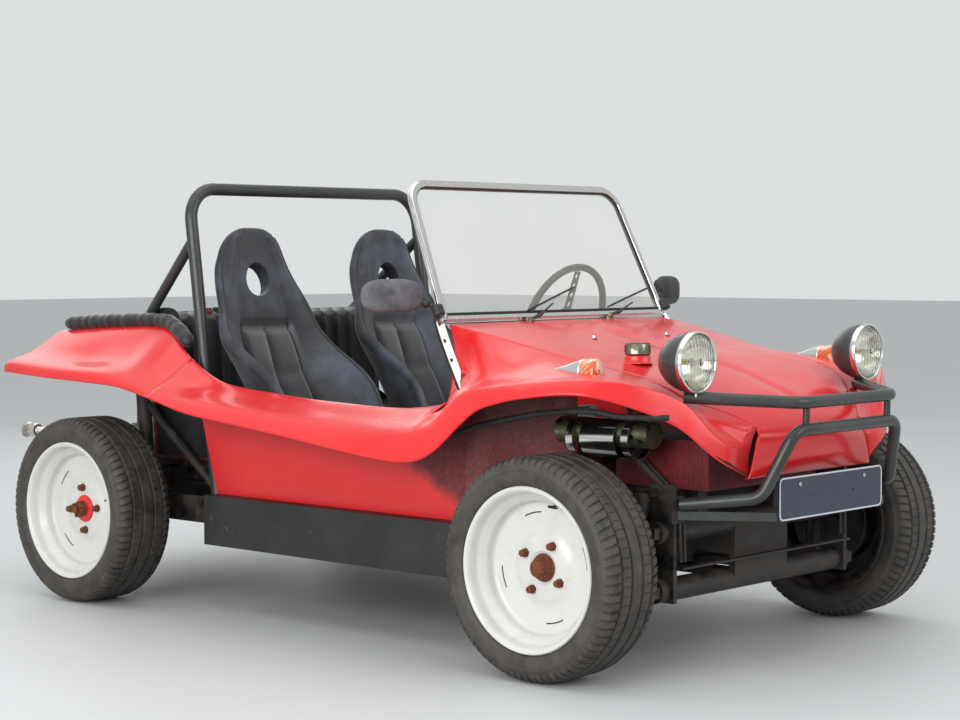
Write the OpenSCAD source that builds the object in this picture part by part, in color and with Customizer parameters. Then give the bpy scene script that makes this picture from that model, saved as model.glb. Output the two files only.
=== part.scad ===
// Open two-seat dune buggy on a shortened rear-engined floor pan.
// Millimetres. X to the car's left, the front faces -Y, Z up, Z = 0 on the ground.

/* [Overall] */
// Distance between the axle lines
wheelbase = 1850; // [1750:10:2250]
// Width across the body's side flanges
body_w = 1440; // [1340:10:1760]
// Distance between the centre planes of two wheels on one axle
track = 1315; // [1290:5:1600]
// Distance from the front axle to the middle of the car
front_reach = 1000; // [900:10:1200]
// Thickness of the moulded body panels
panel_t = 5; // [4:0.5:8]
// Width of the seam between two panels
seam = 0.3; // [0.2:0.1:1]

/* [Wheels] */
// Outer diameter of a tyre
tyre_d = 562; // [480:2:680]
// Width of a tyre at its sides
tyre_w = 195; // [175:5:235]
// Diameter of the rim at the bead seat
rim_d = 381; // [330:1:406]
// Height of the rim flange above the bead seat
flange_h = 17; // [12:1:20]
// Depth from the rim's outer edge to the hub face
dish = 72; // [50:1:90]
// Radius of the wheel bolt circle
bolt_r = 65; // [50:1:70]
// Radius of a brake drum
drum_r = 122; // [100:1:130]
// Wheel bearing clearance on the stub axle
bearing_gap = 0.05; // [0.03:0.01:0.1]

/* [Cockpit] */
// Distance between the outer faces of the cockpit walls
tub_w = 1120; // [1020:10:1300]
// Height of the cockpit rim
rim_z = 640; // [600:5:760]
// Height of the sill's lower edge
sill_z = 205; // [180:5:250]
// Height of a sill
sill_h = 145; // [100:5:180]
// Depth of the cockpit floor
floor_t = 12; // [8:1:20]
// Width of a seat
seat_w = 470; // [400:5:520]
// Distance of a seat's middle from the car's middle
seat_x = 285; // [270:5:330]
// Lean of the seat backs from upright
seat_lean = 20; // [10:1:30]

/* [Windshield] */
// Rake of the windshield from upright
glass_rake = 26; // [10:0.2:40]
// Height of the windshield along its rake
glass_h = 408; // [300:2:460]
// Width at the windshield's foot
glass_foot_w = 968; // [860:2:1060]
// Width at the windshield's top
glass_top_w = 900; // [740:2:1000]
// Diameter of the windshield frame
frame_d = 25; // [18:1:34]
// Thickness of the glass
glass_t = 5; // [4:0.5:8]

/* [Tubes] */
// Diameter of the roll bar tube
roll_d = 38; // [30:1:50]
// Height of the roll bar's top centreline
roll_z = 1258; // [1150:2:1400]
// Half width of the roll bar
roll_x = 490; // [440:5:520]
// Diameter of the bumper tubes
bumper_d = 32; // [25:1:42]
// Diameter of the front beam tubes
beam_d = 60; // [45:1:70]
// Height between the two front beam tubes
beam_rise = 150; // [130:2:180]

/* [Steering] */
// Outer diameter of the steering wheel
steer_d = 364; // [320:2:420]
// Lean of the steering wheel's plane from upright
steer_lean = 20; // [15:1:45]
// Distance of the kingpin from the car's middle
kingpin_x = 505; // [480:5:560]
// Clearance of pivots and sliding pieces
pivot_gap = 0.5; // [0.3:0.1:1]

/* [Lamps] */
// Diameter of the headlight rim
lamp_d = 146; // [120:2:200]
// Distance of a headlight from the middle
lamp_x = 394; // [330:2:460]

/* [Hidden] */

nominal_base = 1850;
nominal_half = 720;
nominal_rim_z = 640;
stretch = wheelbase - nominal_base;
half_w = body_w / 2;
tub_x = tub_w / 2;
axle_z = tyre_d / 2;
hub_x = track / 2 + tyre_w / 2 - dish - 5;
rim_edge_x = track / 2 + tyre_w / 2 - 5;
rim_w = tyre_w - 10;
// Distance of the front beam ahead of the axle line
beam_at = -150;

// The car's long axis is measured from the front axle; only the cockpit takes up a
// longer or shorter wheelbase, between the dashboard and the seat backs.
function along(d) = d - front_reach + stretch * max(0, min(1, (d - 600) / 700));
// Widths follow the body's width
function wide(x) = x * half_w / nominal_half;

// Smooth curve through the rows of a table [d, value, value ...]
function span(tb, d, i = 0) = (i >= len(tb) - 2 || d < tb[i + 1][0]) ? i : span(tb, d, i + 1);
function slope(tb, i, c) =
    let (a = max(i - 1, 0), b = min(i + 1, len(tb) - 1))
    (tb[b][c] - tb[a][c]) / (tb[b][0] - tb[a][0]);
function curve(tb, d, c) =
    let (i = span(tb, d), h = tb[i + 1][0] - tb[i][0], t = max(0, min(1, (d - tb[i][0]) / h)))
    (2 * t * t * t - 3 * t * t + 1) * tb[i][c] + (t * t * t - 2 * t * t + t) * h * slope(tb, i, c)
    + (3 * t * t - 2 * t * t * t) * tb[i + 1][c] + (t * t * t - t * t) * h * slope(tb, i + 1, c);

// Smooth curve through a list of points, n steps to each stretch
function bend(p, i) = (p[min(i + 1, len(p) - 1)] - p[max(i - 1, 0)]) / 2;
function spline(p, n) = concat(
    [for (i = [0:len(p) - 2], k = [0:n - 1])
        let (t = k / n)
        (2 * t * t * t - 3 * t * t + 1) * p[i] + (t * t * t - 2 * t * t + t) * bend(p, i)
        + (3 * t * t - 2 * t * t * t) * p[i + 1] + (t * t * t - t * t) * bend(p, i + 1)],
    [p[len(p) - 1]]);
function steps(a, b, n) = [for (k = [0:n]) a + (b - a) * k / n];

// Closed panel: a grid of points and its copy set back along the surface normal
function unit(v) = v / norm(v);
function grid_normal(g, i, j, flat_ends) =
    (flat_ends && j == 0) ? [0, 0, 1] :
    let (n = len(g) - 1, m = len(g[0]) - 1,
         a = g[i][min(j + 1, m)] - g[i][max(j - 1, 0)],
         b = g[min(i + 1, n)][j] - g[max(i - 1, 0)][j], c = cross(a, b),
         y = (flat_ends && (i == 0 || i == n)) ? 0 : c[1])
    unit([c[0], y, c[2]]);
module panel(g, t, flat_ends = true) {
    n = len(g) - 1;
    m = len(g[0]) - 1;
    w = m + 1;
    o = (n + 1) * w;
    top = [for (r = g, p = r) p];
    under = [for (i = [0:n], j = [0:m]) g[i][j] - t * grid_normal(g, i, j, flat_ends)];
    skins = [for (i = [0:n - 1], j = [0:m - 1])
        let (a = i * w + j, b = a + 1, d = a + w, c = d + 1)
        each [[a, c, b], [a, d, c], [a + o, b + o, c + o], [a + o, c + o, d + o]]];
    sides = [for (i = [0:n - 1])
        let (a = i * w, d = a + w, b = a + m, c = b + w)
        each [[d, a, a + o], [d, a + o, d + o], [b, c, c + o], [b, c + o, b + o]]];
    ends = [for (j = [0:m - 1])
        let (a = j, b = j + 1, d = n * w + j, c = d + 1)
        each [[a, b, b + o], [a, b + o, a + o], [c, d, d + o], [c, d + o, c + o]]];
    polyhedron(concat(top, under), concat(skins, sides, ends));
}
module both_sides() {
    children();
    mirror([1, 0, 0]) children();
}

// Straight tube or rod between two points
module rod(a, b, r) {
    v = b - a;
    translate(a)
        rotate([0, acos(v[2] / norm(v)), atan2(v[1], v[0])])
            cylinder(h = norm(v), r = r, $fn = 32);
}
// Tube along corner points, with true bends of radius q at the inner ones.
// A bend is a hair fatter than the straight tubes, which run a little way into it.
swell = 0.05;
run_in = 1;
module elbow(p, u, v, r, q) {
    turn = acos(u * v);
    side = unit(v - (u * v) * u);
    c = p - u * q * tan(turn / 2) + side * q;
    x = -side;
    z = cross(x, u);
    multmatrix([[x[0], u[0], z[0], c[0]], [x[1], u[1], z[1], c[1]], [x[2], u[2], z[2], c[2]],
                [0, 0, 0, 1]])
        rotate_extrude(angle = turn, $fn = 64) translate([q, 0]) circle(r = r + swell, $fn = 32);
}
module bent_tube(p, r, q) {
    n = len(p) - 1;
    dir = [for (i = [0:n - 1]) unit(p[i + 1] - p[i])];
    cut = [for (i = [0:n])
        (i == 0 || i == n) ? 0 : q * tan(acos(dir[i - 1] * dir[i]) / 2) - run_in];
    for (i = [0:n - 1]) rod(p[i] + dir[i] * cut[i], p[i + 1] - dir[i] * cut[i + 1], r);
    for (i = [1:n - 1]) elbow(p[i], dir[i - 1], dir[i], r, q);
}
module x_drum(x0, x1, y, z, r) {
    translate([x0, y, z]) rotate([0, 90, 0]) cylinder(h = x1 - x0, r = r, $fn = 64);
}

// Lines of the body, each row [distance behind the front axle, x, z]
bonnet_edge = [[-330, 235, 620], [-300, 270, 642], [-262, 310, 664], [-210, 365, 688],
               [-158, 400, 722], [-100, 415, 746], [0, 425, 766], [100, 440, 784],
               [250, 455, 816], [400, 468, 848], [512, 472.5, 868]];
shoulder = [[-330, 255, 598], [-300, 315, 630], [-262, 375, 656], [-210, 450, 692],
            [-158, 520, 730], [-100, 545, 750], [0, 556, 761], [100, 552, 768],
            [190, 535, 776], [320, 508, 800], [400, 489, 818], [484, 486, 796]];
haunch = [[-330, 265, 574], [-300, 340, 612], [-262, 420, 664], [-210, 510, 710],
          [-160, 570, 735], [-100, 616, 748], [60, 634, 748], [190, 620, 738],
          [300, 604, 722], [360, 590, 704], [400, 578, 684], [428, 570, 668]];
crease = [[-330, 275, 545], [-317, 370, 584], [-262, 459, 687], [-190, 578, 735],
          [-100, 660, 746], [50, 700, 733], [193, 702, 714], [262, 702, 697], [300, 702, 672],
          [361, 702, 620], [425, 700, 597], [520, 690, 586], [700, 680, 588], [1100, 682, 616],
          [1400, 692, 640], [1600, 700, 682], [1750, 702, 704], [2000, 702, 712],
          [2200, 700, 722]];
lip = [[-330, 275, 500], [-317, 385, 548], [-262, 480, 634], [-190, 598, 690],
       [-100, 680, 716], [50, 718, 703], [125, 720, 688], [190, 720, 668], [247, 720, 630],
       [300, 720, 586], [350, 720, 550], [410, 718, 526], [480, 716, 519], [560, 715, 522],
       [700, 716, 536], [930, 718, 563], [1130, 720, 583], [1335, 720, 606], [1496, 720, 641],
       [1640, 720, 669], [1807, 720, 677], [2000, 720, 684], [2200, 716, 694]];
rail = [[428, 570, 668], [470, 562, 656], [602, 560, 642], [872, 560, 646], [1103, 560, 659], [1316, 560, 677],
        [1410, 557, 702], [1524, 548, 757], [1600, 530, 802], [1690, 506, 829],
        [1900, 500, 828], [2200, 498, 813]];
waist = [[428, 646, 634], [470, 636, 624], [602, 618, 618], [872, 615, 624], [1103, 616, 640], [1316, 616, 655],
         [1410, 616, 668], [1524, 618, 706], [1640, 614, 738], [1746, 604, 741],
         [1905, 600, 742], [2080, 600, 755], [2200, 598, 757]];
middle_z = [[-330, 0, 640], [-268, 0, 686], [-190, 0, 718], [-108, 0, 746], [24, 0, 781], [160, 0, 806],
            [267, 0, 828], [400, 0, 857], [512, 0, 870.4]];

function at(tb, d) = [wide(curve(tb, d, 1)), along(d), curve(tb, d, 2)];
// Cockpit lines stand on the cockpit walls, so their width follows tub_w
function rail_at(d) = [tub_x - 560 + curve(rail, d, 1), along(d),
                       curve(rail, d, 2) + rim_z - nominal_rim_z];
function waist_at(d) =
    let (a = rail_at(d), b = at(crease, d),
         share = (curve(waist, d, 1) - curve(rail, d, 1)) / (curve(crease, d, 1) - curve(rail, d, 1)))
    [a[0] + (b[0] - a[0]) * share, a[1], curve(waist, d, 2) + (rim_z - nominal_rim_z) / 2];
// Sections of the nose end of the body, and the height of its skin over a point
// The nose end stops along the raked windshield posts: lower points stop further forward
front_ds = concat(steps(-330, -150, 12), steps(-120, 512, 18));
rail_start = 428;
function held_back(d, by) = d - by * max(0, min(1, (d - 380) / (512 - 380)));
function bonnet_z(d, s) =
    let (m = curve(middle_z, d, 2)) m + (curve(bonnet_edge, d, 2) - m) * pow(abs(s), 2.4);
function fender_row(d) =
    let (low = held_back(d, 512 - rail_start))
    spline([at(bonnet_edge, d), at(shoulder, held_back(d, 28)), at(haunch, low),
            at(crease, low), at(lip, low)], 4);
function row_z(r, x, j = 1) =
    (j == len(r) - 1 || x < r[j][0])
        ? r[j - 1][2] + (r[j][2] - r[j - 1][2]) * (x - r[j - 1][0]) / (r[j][0] - r[j - 1][0])
        : row_z(r, x, j + 1);
function skin_z(x, d) =
    let (e = at(bonnet_edge, d)[0]) x < e ? bonnet_z(d, x / e) : row_z(fender_row(d), x);

pan_z = sill_z + 25;
pan_top = pan_z + floor_t;
foot_d = 125;
seat_wall_d = 1385;
module floor_pan() {
    tunnel_h = 165;
    color("dimgray") difference() {
        union() {
            translate([-tub_x + 30, along(400), pan_z])
                cube([tub_w - 60, along(seat_wall_d) - seam - along(400), floor_t]);
            translate([-390, along(foot_d), pan_z]) cube([780, along(400) - along(foot_d), floor_t]);
            for (x = [-seat_x, seat_x]) translate([x - 25, 0, 0])
                rotate([90, 0, 90]) linear_extrude(50)
                    polygon([for (p = [[880, 0], [1165, 0], [1165, 1], [880, 1]])
                        let (under = seat_line((p[0] - 1250) / 480)[2] - seat_pad - 3 * seam)
                        [along(p[0]), p[1] == 0 ? pan_top - 2 : under]]);
            translate([-75, along(foot_d) + panel_t + seam, pan_z])
                cube([150, along(seat_wall_d) - along(foot_d) - panel_t - 2 * seam, tunnel_h]);
        }
        translate([-60, along(60), sill_z])
            cube([120, along(seat_wall_d) + 30 - along(60), tunnel_h]);
    }
}

module sills() {
    color([0.08, 0.08, 0.08]) both_sides()
        translate([tub_x - 20, along(384), sill_z]) cube([60, along(1385) - along(384), sill_h]);
}

// Cockpit walls rise from the sills to just below the rail
module cockpit_walls() {
    low = sill_z + sill_h + seam;
    color("firebrick") both_sides() {
        ds = steps(385, 1500, 14);
        outline = concat([[along(385), low], [along(1385), low]],
                         [for (i = [len(ds) - 1:-1:0])
                             [along(ds[i]), rail_at(ds[i])[2] - 13 - panel_t]]);
        translate([tub_x - 12 - panel_t, 0, 0]) rotate([90, 0, 90])
            linear_extrude(panel_t) polygon(outline);
    }
}

// Footwell shell ahead of the cockpit, and the stepped tub that holds the rear bench
foot_x = 400;
bench_x = 430;
module bulkheads() {
    z = pan_top + seam;
    h = 325;
    color("maroon") {
        difference() {
            translate([-foot_x, along(foot_d), z]) cube([2 * foot_x, panel_t, h]);
            rod(shaft(556), box_top, 24);
        }
        both_sides() {
            translate([foot_x - panel_t, along(foot_d) + panel_t, z]) cube([panel_t, 160, h]);
            translate([foot_x - panel_t, along(foot_d) + panel_t + 160, z])
                slant([tub_x - 20 - foot_x, along(395) - along(foot_d) - panel_t - 160], h);
        }
        translate([-bench_x - 5, 0, 0]) rotate([90, 0, 90]) linear_extrude(2 * bench_x + 10)
            polygon([[along(seat_wall_d), z], [along(seat_wall_d), 435], [along(1805), 435],
                     [along(1820), 785], [along(1820) + panel_t, 785],
                     [along(1805) + panel_t, 435 - panel_t],
                     [along(seat_wall_d) + panel_t, 435 - panel_t],
                     [along(seat_wall_d) + panel_t, z]]);
    }
}
// Upright panel along a slanting line
module slant(v, h) {
    rotate([0, 0, atan2(v[1], v[0])]) cube([norm(v), panel_t, h]);
}

module front_axle() {
    y = along(beam_at);
    upper = axle_z + beam_rise / 2;
    lower = axle_z - beam_rise / 2;
    color([0.1, 0.1, 0.1]) {
        for (z = [lower, upper]) x_drum(-430, 430, y, z, beam_d / 2);
        both_sides() {
            translate([385, y - 40, lower - 30]) cube([14, 80, upper - lower + 150]);
            for (z = [lower, upper]) {
                translate([432, y - 22, z - 14]) cube([22, 200 - 22, 28]);
                translate([kingpin_x, along(0), z - 12]) cylinder(h = 24, r = 24, $fn = 48);
                translate([432, along(-24), z - 12]) cube([kingpin_x - 432, 48, 24]);
            }
            rod([418, y + 40, upper + 100], [420, along(-70), lower + 10], 20);
            translate([395, y + 8, upper + 90]) cube([30, 50, 20]);
            translate([395, y + 60, lower - 10]) cube([40, 40, 30]);
        }
        translate([-385, y - 60, axle_z - 18]) cube([770, 20, 5]);
        translate([-120, y - 30, lower]) cube([240, 20, upper - lower]);
        for (x = [-250, 90]) translate([x - 20, y - 20, upper + 20])
            cube([40, 40, tank_z - seam - upper - 20]);
        both_sides() translate([366, y - 46, 380]) cube([48, 8, 68]);
        both_sides() translate([60, y, pan_z - seam - 20]) cube([60, along(260) - y, 20]);
    }
}

module rear_axle() {
    tube_d = 1450;
    axle_d = nominal_base;
    color([0.12, 0.12, 0.12]) both_sides() {
        x_drum(0, 500, along(tube_d), axle_z + 10, 38);
        x_drum(105 + seam, hub_x - 84, along(axle_d), axle_z, 36);
        translate([478, along(tube_d), axle_z - 35])
            cube([10, along(axle_d) + 30 - along(tube_d), 80]);
        x_drum(hub_x - 84, hub_x - 76, along(axle_d), axle_z, drum_r - 4);
        x_drum(hub_x - 76, hub_x - 3, along(axle_d), axle_z, 20);
        translate([140, along(tube_d), axle_z - 20]) cube([50, along(1985) - along(tube_d), 60]);
        rod([466, along(1800), axle_z + 20], [466, along(1835), 640], 22);
        rod([452, along(tube_d), axle_z + 30], [455, along(1835), 600], 13);
    }
}

module gearbox() {
    color([0.35, 0.34, 0.33]) {
        translate([0, along(1495), axle_z + 10]) rotate([-90, 0, 0])
            cylinder(h = 265, r1 = 80, r2 = 120, $fn = 48);
        translate([0, along(1760), axle_z]) rotate([-90, 0, 0])
            cylinder(h = 170, r = 105, $fn = 48);
        translate([0, along(1930), axle_z]) rotate([-90, 0, 0])
            cylinder(h = 60, r = 136, $fn = 48);
    }
}

module engine() {
    back = along(1990) + seam;
    color([0.3, 0.3, 0.3]) {
        translate([-160, back, axle_z - 90]) cube([320, 290, 300]);
        both_sides() translate([160, back + 10, axle_z - 45]) cube([190, 230, 130]);
        translate([-280, back + 20, axle_z + 90]) cube([560, 90, 210]);
        translate([0, back + 110, axle_z + 215]) rotate([-90, 0, 0])
            cylinder(h = 150, r = 52, $fn = 48);
        translate([0, back + 290, axle_z - 10]) rotate([-90, 0, 0])
            cylinder(h = 22, r = 70, $fn = 48);
    }
}

module exhaust() {
    y = along(2345);
    z = axle_z + 130;
    color([0.4, 0.38, 0.36]) {
        x_drum(-290, 290, y, z, 60);
        both_sides() {
            rod([270, y, z + 10], [410, y, z + 45], 16);
            translate([410, y, z + 45]) sphere(r = 16.6, $fn = 48);
            rod([410, y, z + 45], [455, along(2410), z + 67], 16);
            rod([250, along(2000) + 230 + 2 * seam, axle_z + 20], [250, along(2290), axle_z + 20], 19);
            translate([250, along(2290), axle_z + 20]) sphere(r = 19.6, $fn = 48);
            rod([250, along(2290), axle_z + 20], [250, y, z], 19);
            difference() {
                translate([455, along(2400), z + 67]) rotate([-90, 0, 0])
                    cylinder(h = 60, r1 = 20, r2 = 27, $fn = 48);
                translate([455, along(2430), z + 67]) rotate([-90, 0, 0])
                    cylinder(h = 60, r = 22, $fn = 48);
            }
        }
    }
}

neck = [285, 15];
tank_z = 460;
module fuel_tank() {
    y = along(-250);
    z = tank_z;
    h = 125;
    top = skin_z(neck[0], neck[1]);
    color("maroon") translate([-335, y, z]) cube([485, 295, h]);
    color("silver") translate([-neck[0], along(neck[1]), z + h]) {
        cylinder(h = top - z - h + 24, r = 26, $fn = 64);
        translate([0, 0, top - z - h + 24]) cylinder(h = 26, r = 32, $fn = 64);
    }
}

module heater_canister() {
    color("gray") {
        translate([-440, along(-160), 603]) rotate([-90, 0, 0]) cylinder(h = 300, r = 34, $fn = 48);
        translate([-415, along(foot_d) + 3, 540]) cube([15 - seam, 8, 60]);
    }
}

module bonnet() {
    g = [for (d = front_ds)
        let (e = at(bonnet_edge, d)[0] - seam)
        [for (s = steps(-1, 1, 18)) [s * e, along(d), bonnet_z(d, s)]]];
    color("red") difference() {
        panel(g, panel_t);
        translate([-neck[0], along(neck[1]), 500]) cylinder(h = 500, r = 34, $fn = 48);
    }
}

// The nose closes the front between the fenders, just ahead of their front edges
module nose_panel() {
    ks = steps(1, 0, 8);
    rows = [for (k = ks)
        [for (s = steps(-1, 1, 14))
            let (x = s * wide(238 + 42 * k), edge = along(-330) - panel_t - seam,
                 top = bonnet_z(-330, s) - 2 * seam)
            [x, edge - 20 * sin(k * 180) * (1 - s * s) - 6 * (1 - s * s), top + (496 - top) * k]]];
    color("red") panel(rows, panel_t, false);
}

module front_fenders() {
    color("red") both_sides() panel([for (d = front_ds) fender_row(d)], panel_t);
}

// Body side beside the cockpit: a rolled rail, a hollow waist and a flared flange
module body_sides() {
    g = [for (d = steps(rail_start + seam, 1500 - seam, 18))
        spline([rail_at(d) - [12, 0, 12], rail_at(d), waist_at(d), at(crease, d), at(lip, d)], 4)];
    color("red") both_sides() panel(g, panel_t);
}

deck_z = rail_at(1900)[2] - 21;
// Rear fenders joined by the deck behind the seats
module rear_body() {
    tail = 2215;
    g = [for (d = steps(1500, tail, 18))
        spline([rail_at(d) - [12, 0, 12], rail_at(d), waist_at(d), at(crease, d), at(lip, d)], 4)];
    deck_x = rail_at(1900)[0] - 12;
    color("red") {
        both_sides() panel(g, panel_t);
        translate([-deck_x, along(1840), deck_z - panel_t])
            cube([2 * deck_x, along(tail) - along(1840), panel_t]);
        translate([-deck_x, along(tail) - panel_t, deck_z - 140]) cube([2 * deck_x, panel_t, 138]);
    }
}

// The windshield stands in its own raked plane, foot in the middle at [0, 0]
module in_glass_plane() {
    translate([0, along(511), 881]) rotate([glass_rake > 0 ? -glass_rake : 0, 0, 0]) children();
}
glass_splay = (glass_foot_w - glass_top_w) / 2;
module glass_outline(inset) {
    lean = atan2(glass_splay, glass_h);
    for_half = function(v, r) glass_foot_w / 2 - glass_splay * v / glass_h - (inset + r) / cos(lean);
    hull() for (s = [-1, 1]) {
        translate([s * for_half(glass_h - inset - 56, 56), glass_h - inset - 56])
            circle(r = 56, $fn = 48);
        translate([s * for_half(inset + 8, 8), inset + 8]) circle(r = 8, $fn = 16);
    }
}
post_drop = 56;
module windshield_frame() {
    foot = glass_foot_w / 2;
    top = glass_top_w / 2;
    low = foot + glass_splay * post_drop / glass_h;
    color("silver") in_glass_plane() {
        bent_tube([[-low, 0, -post_drop], [-top, 0, glass_h], [top, 0, glass_h],
                   [low, 0, -post_drop]], frame_d / 2, 70);
        rod([-foot, 0, 0], [foot, 0, 0], frame_d * 0.4);
    }
}
module windshield_glass() {
    color([0.7, 0.85, 0.8, 0.35]) in_glass_plane() translate([0, glass_t / 2, 0]) rotate([90, 0, 0])
        linear_extrude(glass_t) glass_outline(frame_d / 2 + 3 * seam);
}

// Each wiper: a spindle through the scuttle, its arm, and the blade on the glass
module wipers() {
    color([0.05, 0.05, 0.05]) for (x = [-170, 170]) {
        base = [x, along(462), skin_z(abs(x), 462 + 9) + seam];
        knee = base + [0, 0, 20];
        mid = [x + 100, along(504), 922];
        translate(base) cylinder(h = 26, r = 9, $fn = 32);
        rod(knee, mid, 3.5);
        rod(mid - [95, 9, 24], mid + [125, 12, 31], 4.5);
    }
}

module dashboard() {
    color([0.1, 0.1, 0.1]) difference() {
        translate([-430, along(490) + 2 * seam, 700])
            cube([860, 14, skin_z(430, 500) - 700 - panel_t - 4 * seam]);
        rod(shaft(100), shaft(500), 22 + 2 * seam);
    }
}

// The steering shaft lies along the wheel's axis
wheel_mid = [seat_x, along(744), rim_z + 218];
function shaft(t) = wheel_mid + t * [0, -cos(steer_lean), -sin(steer_lean)];
module on_shaft() {
    translate(wheel_mid) rotate([90 + steer_lean, 0, 0]) children();
}
boss_h = 60;
beam_top = axle_z + beam_rise / 2 + beam_d / 2;
box_top = [235, along(-120), beam_top + 36];
module steering_column() {
    color("black") {
        rod(shaft(boss_h + seam), shaft(560), 22);
        rod(shaft(556), box_top, 12);
        translate([box_top[0] - 35, along(beam_at) - 40, beam_top + seam]) cube([70, 80, 50]);
    }
}
module steering_wheel() {
    color("black") on_shaft() {
        rotate_extrude($fn = 96) translate([steer_d / 2 - 11, 0]) circle(r = 11, $fn = 24);
        for (a = [0, 120, 240]) rotate([0, 0, a + 90])
            translate([20, -14, -2]) cube([steer_d / 2 - 35, 28, 4]);
        translate([0, 0, -8]) cylinder(h = 22, r = 34, $fn = 48);
        cylinder(h = boss_h, r = 12, $fn = 32);
    }
}

module roll_bar() {
    top = [roll_x, along(1578), roll_z];
    foot = [roll_x, along(1450), axle_z + 48 + 3 * seam];
    stay = [roll_x - 60, along(1895), deck_z + seam];
    color([0.1, 0.11, 0.11]) {
        bent_tube([[-foot[0], foot[1], foot[2]], [-top[0], top[1], top[2]], top, foot],
                  roll_d / 2, 98);
        both_sides() {
            rod([roll_x - 6, along(1558), 1110], stay + [0, -10, 14], roll_d / 2 - 3);
            translate(stay) cylinder(h = 8, r = 32, $fn = 48);
        }
    }
}

// A seat is one padded shell: cushion, bend and back, with raised side bolsters
seat_pad = 60;
function seat_line(s) =
    let (b = 480, hip = [0, 1250, 400])
    s < 0 ? hip + [0, s * b, -s * 40] : hip + [0, s * 795 * sin(seat_lean), s * 795 * cos(seat_lean)];
module seat(x) {
    ts = steps(-1, 1, 24);
    g = [for (t = ts)
        let (c = seat_line(t), a = t < -0.1 ? 0 : t > 0.12 ? 1 : (t + 0.1) / 0.22,
             nrm = unit([0, -a, 1 - a * 0.6]),
             half = (seat_w / 2 - 45) * (t > 0.5 ? 1 - 0.62 * pow((t - 0.5) / 0.5, 1.6) : 1),
             wing = 150 * (t > 0.35 ? max(0, 1 - (t - 0.35) / 0.5) : 1))
        [for (s = steps(-1, 1, 12))
            [x + s * half, along(c[1]), c[2]] + nrm * wing * pow(abs(s), 4)]];
    difference() {
        panel(g, seat_pad, false);
        translate([x, along(1456), 983]) rotate([90 - seat_lean, 0, 0])
            cylinder(h = 500, r = 42, center = true, $fn = 48);
    }
}
module seat_right() {
    color([0.1, 0.11, 0.13]) seat(-seat_x);
}
module seat_left() {
    color([0.1, 0.11, 0.13]) seat(seat_x);
}

module rear_bench() {
    x = bench_x - 5;
    color([0.06, 0.06, 0.06]) translate([-x, 0, 0]) rotate([90, 0, 90]) linear_extrude(2 * x)
        polygon([[along(1410), 435 + seam], [along(1405), 560], [along(1690), 548],
                 [along(1712), 862], [along(1735), 874], [along(1812), 874], [along(1817), 790],
                 [along(1803), 435 + seam]]);
}

module trim_roll() {
    r = 22;
    ds = concat(steps(1540, 1700, 6), steps(1760, 2200, 5));
    color([0.05, 0.05, 0.05]) both_sides() tube_along([for (d = ds) rail_at(d) + [-22, 0, 24]], r);
}
// Round soft tube swept along points
module tube_along(p, r, k = 12) {
    n = len(p) - 1;
    pts = [for (i = [0:n])
        let (u = unit(p[min(i + 1, n)] - p[max(i - 1, 0)]), a = unit(cross(u, [1, 0, 0])),
             b = cross(u, a))
        each [for (j = [0:k - 1]) p[i] + r * (a * cos(j * 360 / k) + b * sin(j * 360 / k))]];
    skins = [for (i = [0:n - 1], j = [0:k - 1])
        let (q = i * k, e = (j + 1) % k)
        each [[q + j, q + e, q + k + e], [q + j, q + k + e, q + k + j]]];
    caps = [[for (j = [k - 1:-1:0]) j], [for (j = [0:k - 1]) n * k + j]];
    polyhedron(pts, concat(skins, caps));
}

module levers() {
    z = pan_z + 165 + seam;
    color([0.05, 0.05, 0.05]) {
        translate([0, along(720), z]) cylinder(h = 12, r = 30, $fn = 48);
        rod([0, along(720), z + 6], [0, along(760), z + 215], 7);
        translate([0, along(760), z + 225]) sphere(r = 22, $fn = 32);
        translate([-14, along(985), z]) cube([28, 50, 16]);
        rod([0, along(1005), z + 10], [0, along(830), z + 75], 9);
        for (x = [215, 275, 335]) {
            translate([x - 15, along(205), pan_top + seam]) cube([30, 40, 12]);
            rod([x, along(220), pan_top + 6], [x, along(185), pan_top + 170], 6);
        }
    }
}

module headlights() {
    z = 787;
    d = -258;
    color("black") both_sides() {
        translate([lamp_x, along(d), z]) rotate([-90, 0, 0]) {
            cylinder(h = 14, r = lamp_d / 2, $fn = 96);
            translate([0, 0, 14]) cylinder(h = 92, r1 = lamp_d / 2 - 3, r2 = 28, $fn = 96);
        }
        translate([lamp_x, along(bar_end[1]) - 2, bar_end[2] + bumper_d / 2 + seam])
            cylinder(h = 30, r = 9, $fn = 32);
    }
}

module lamps() {
    d = 5;
    pitch = atan2(skin_z(538, d + 40) - skin_z(538, d - 40), along(d + 40) - along(d - 40));
    roll = atan2(skin_z(563, d) - skin_z(513, d), 50);
    color("orange") both_sides() translate([538, along(d), skin_z(538, d) + 4 * seam])
        rotate([pitch, -roll, 0]) translate([-25, -40, 0]) cube([50, 80, 26]);
    color("red") both_sides() translate([420, along(2215) + seam, 725]) rotate([-90, 0, 0])
        cylinder(h = 38, r = 42, $fn = 48);
}

module mirrors() {
    color([0.1, 0.1, 0.1]) both_sides() {
        translate([604, along(600), 946]) rotate([0, 90, 20]) translate([0, 0, -70])
            cylinder(h = 140, r = 36, $fn = 48);
        rod([494.2, along(530), 908], [580, along(580), 935], 6);
    }
}

bar_end = [399, -220, 699.5];
module bumper_bar() {
    z = 686;
    color([0.08, 0.09, 0.09])
        bent_tube([[-bar_end[0], along(bar_end[1]), bar_end[2]], [-214, along(-445), z],
                   [214, along(-445), z], [bar_end[0], along(bar_end[1]), bar_end[2]]],
                  bumper_d / 2, 60);
}

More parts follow.
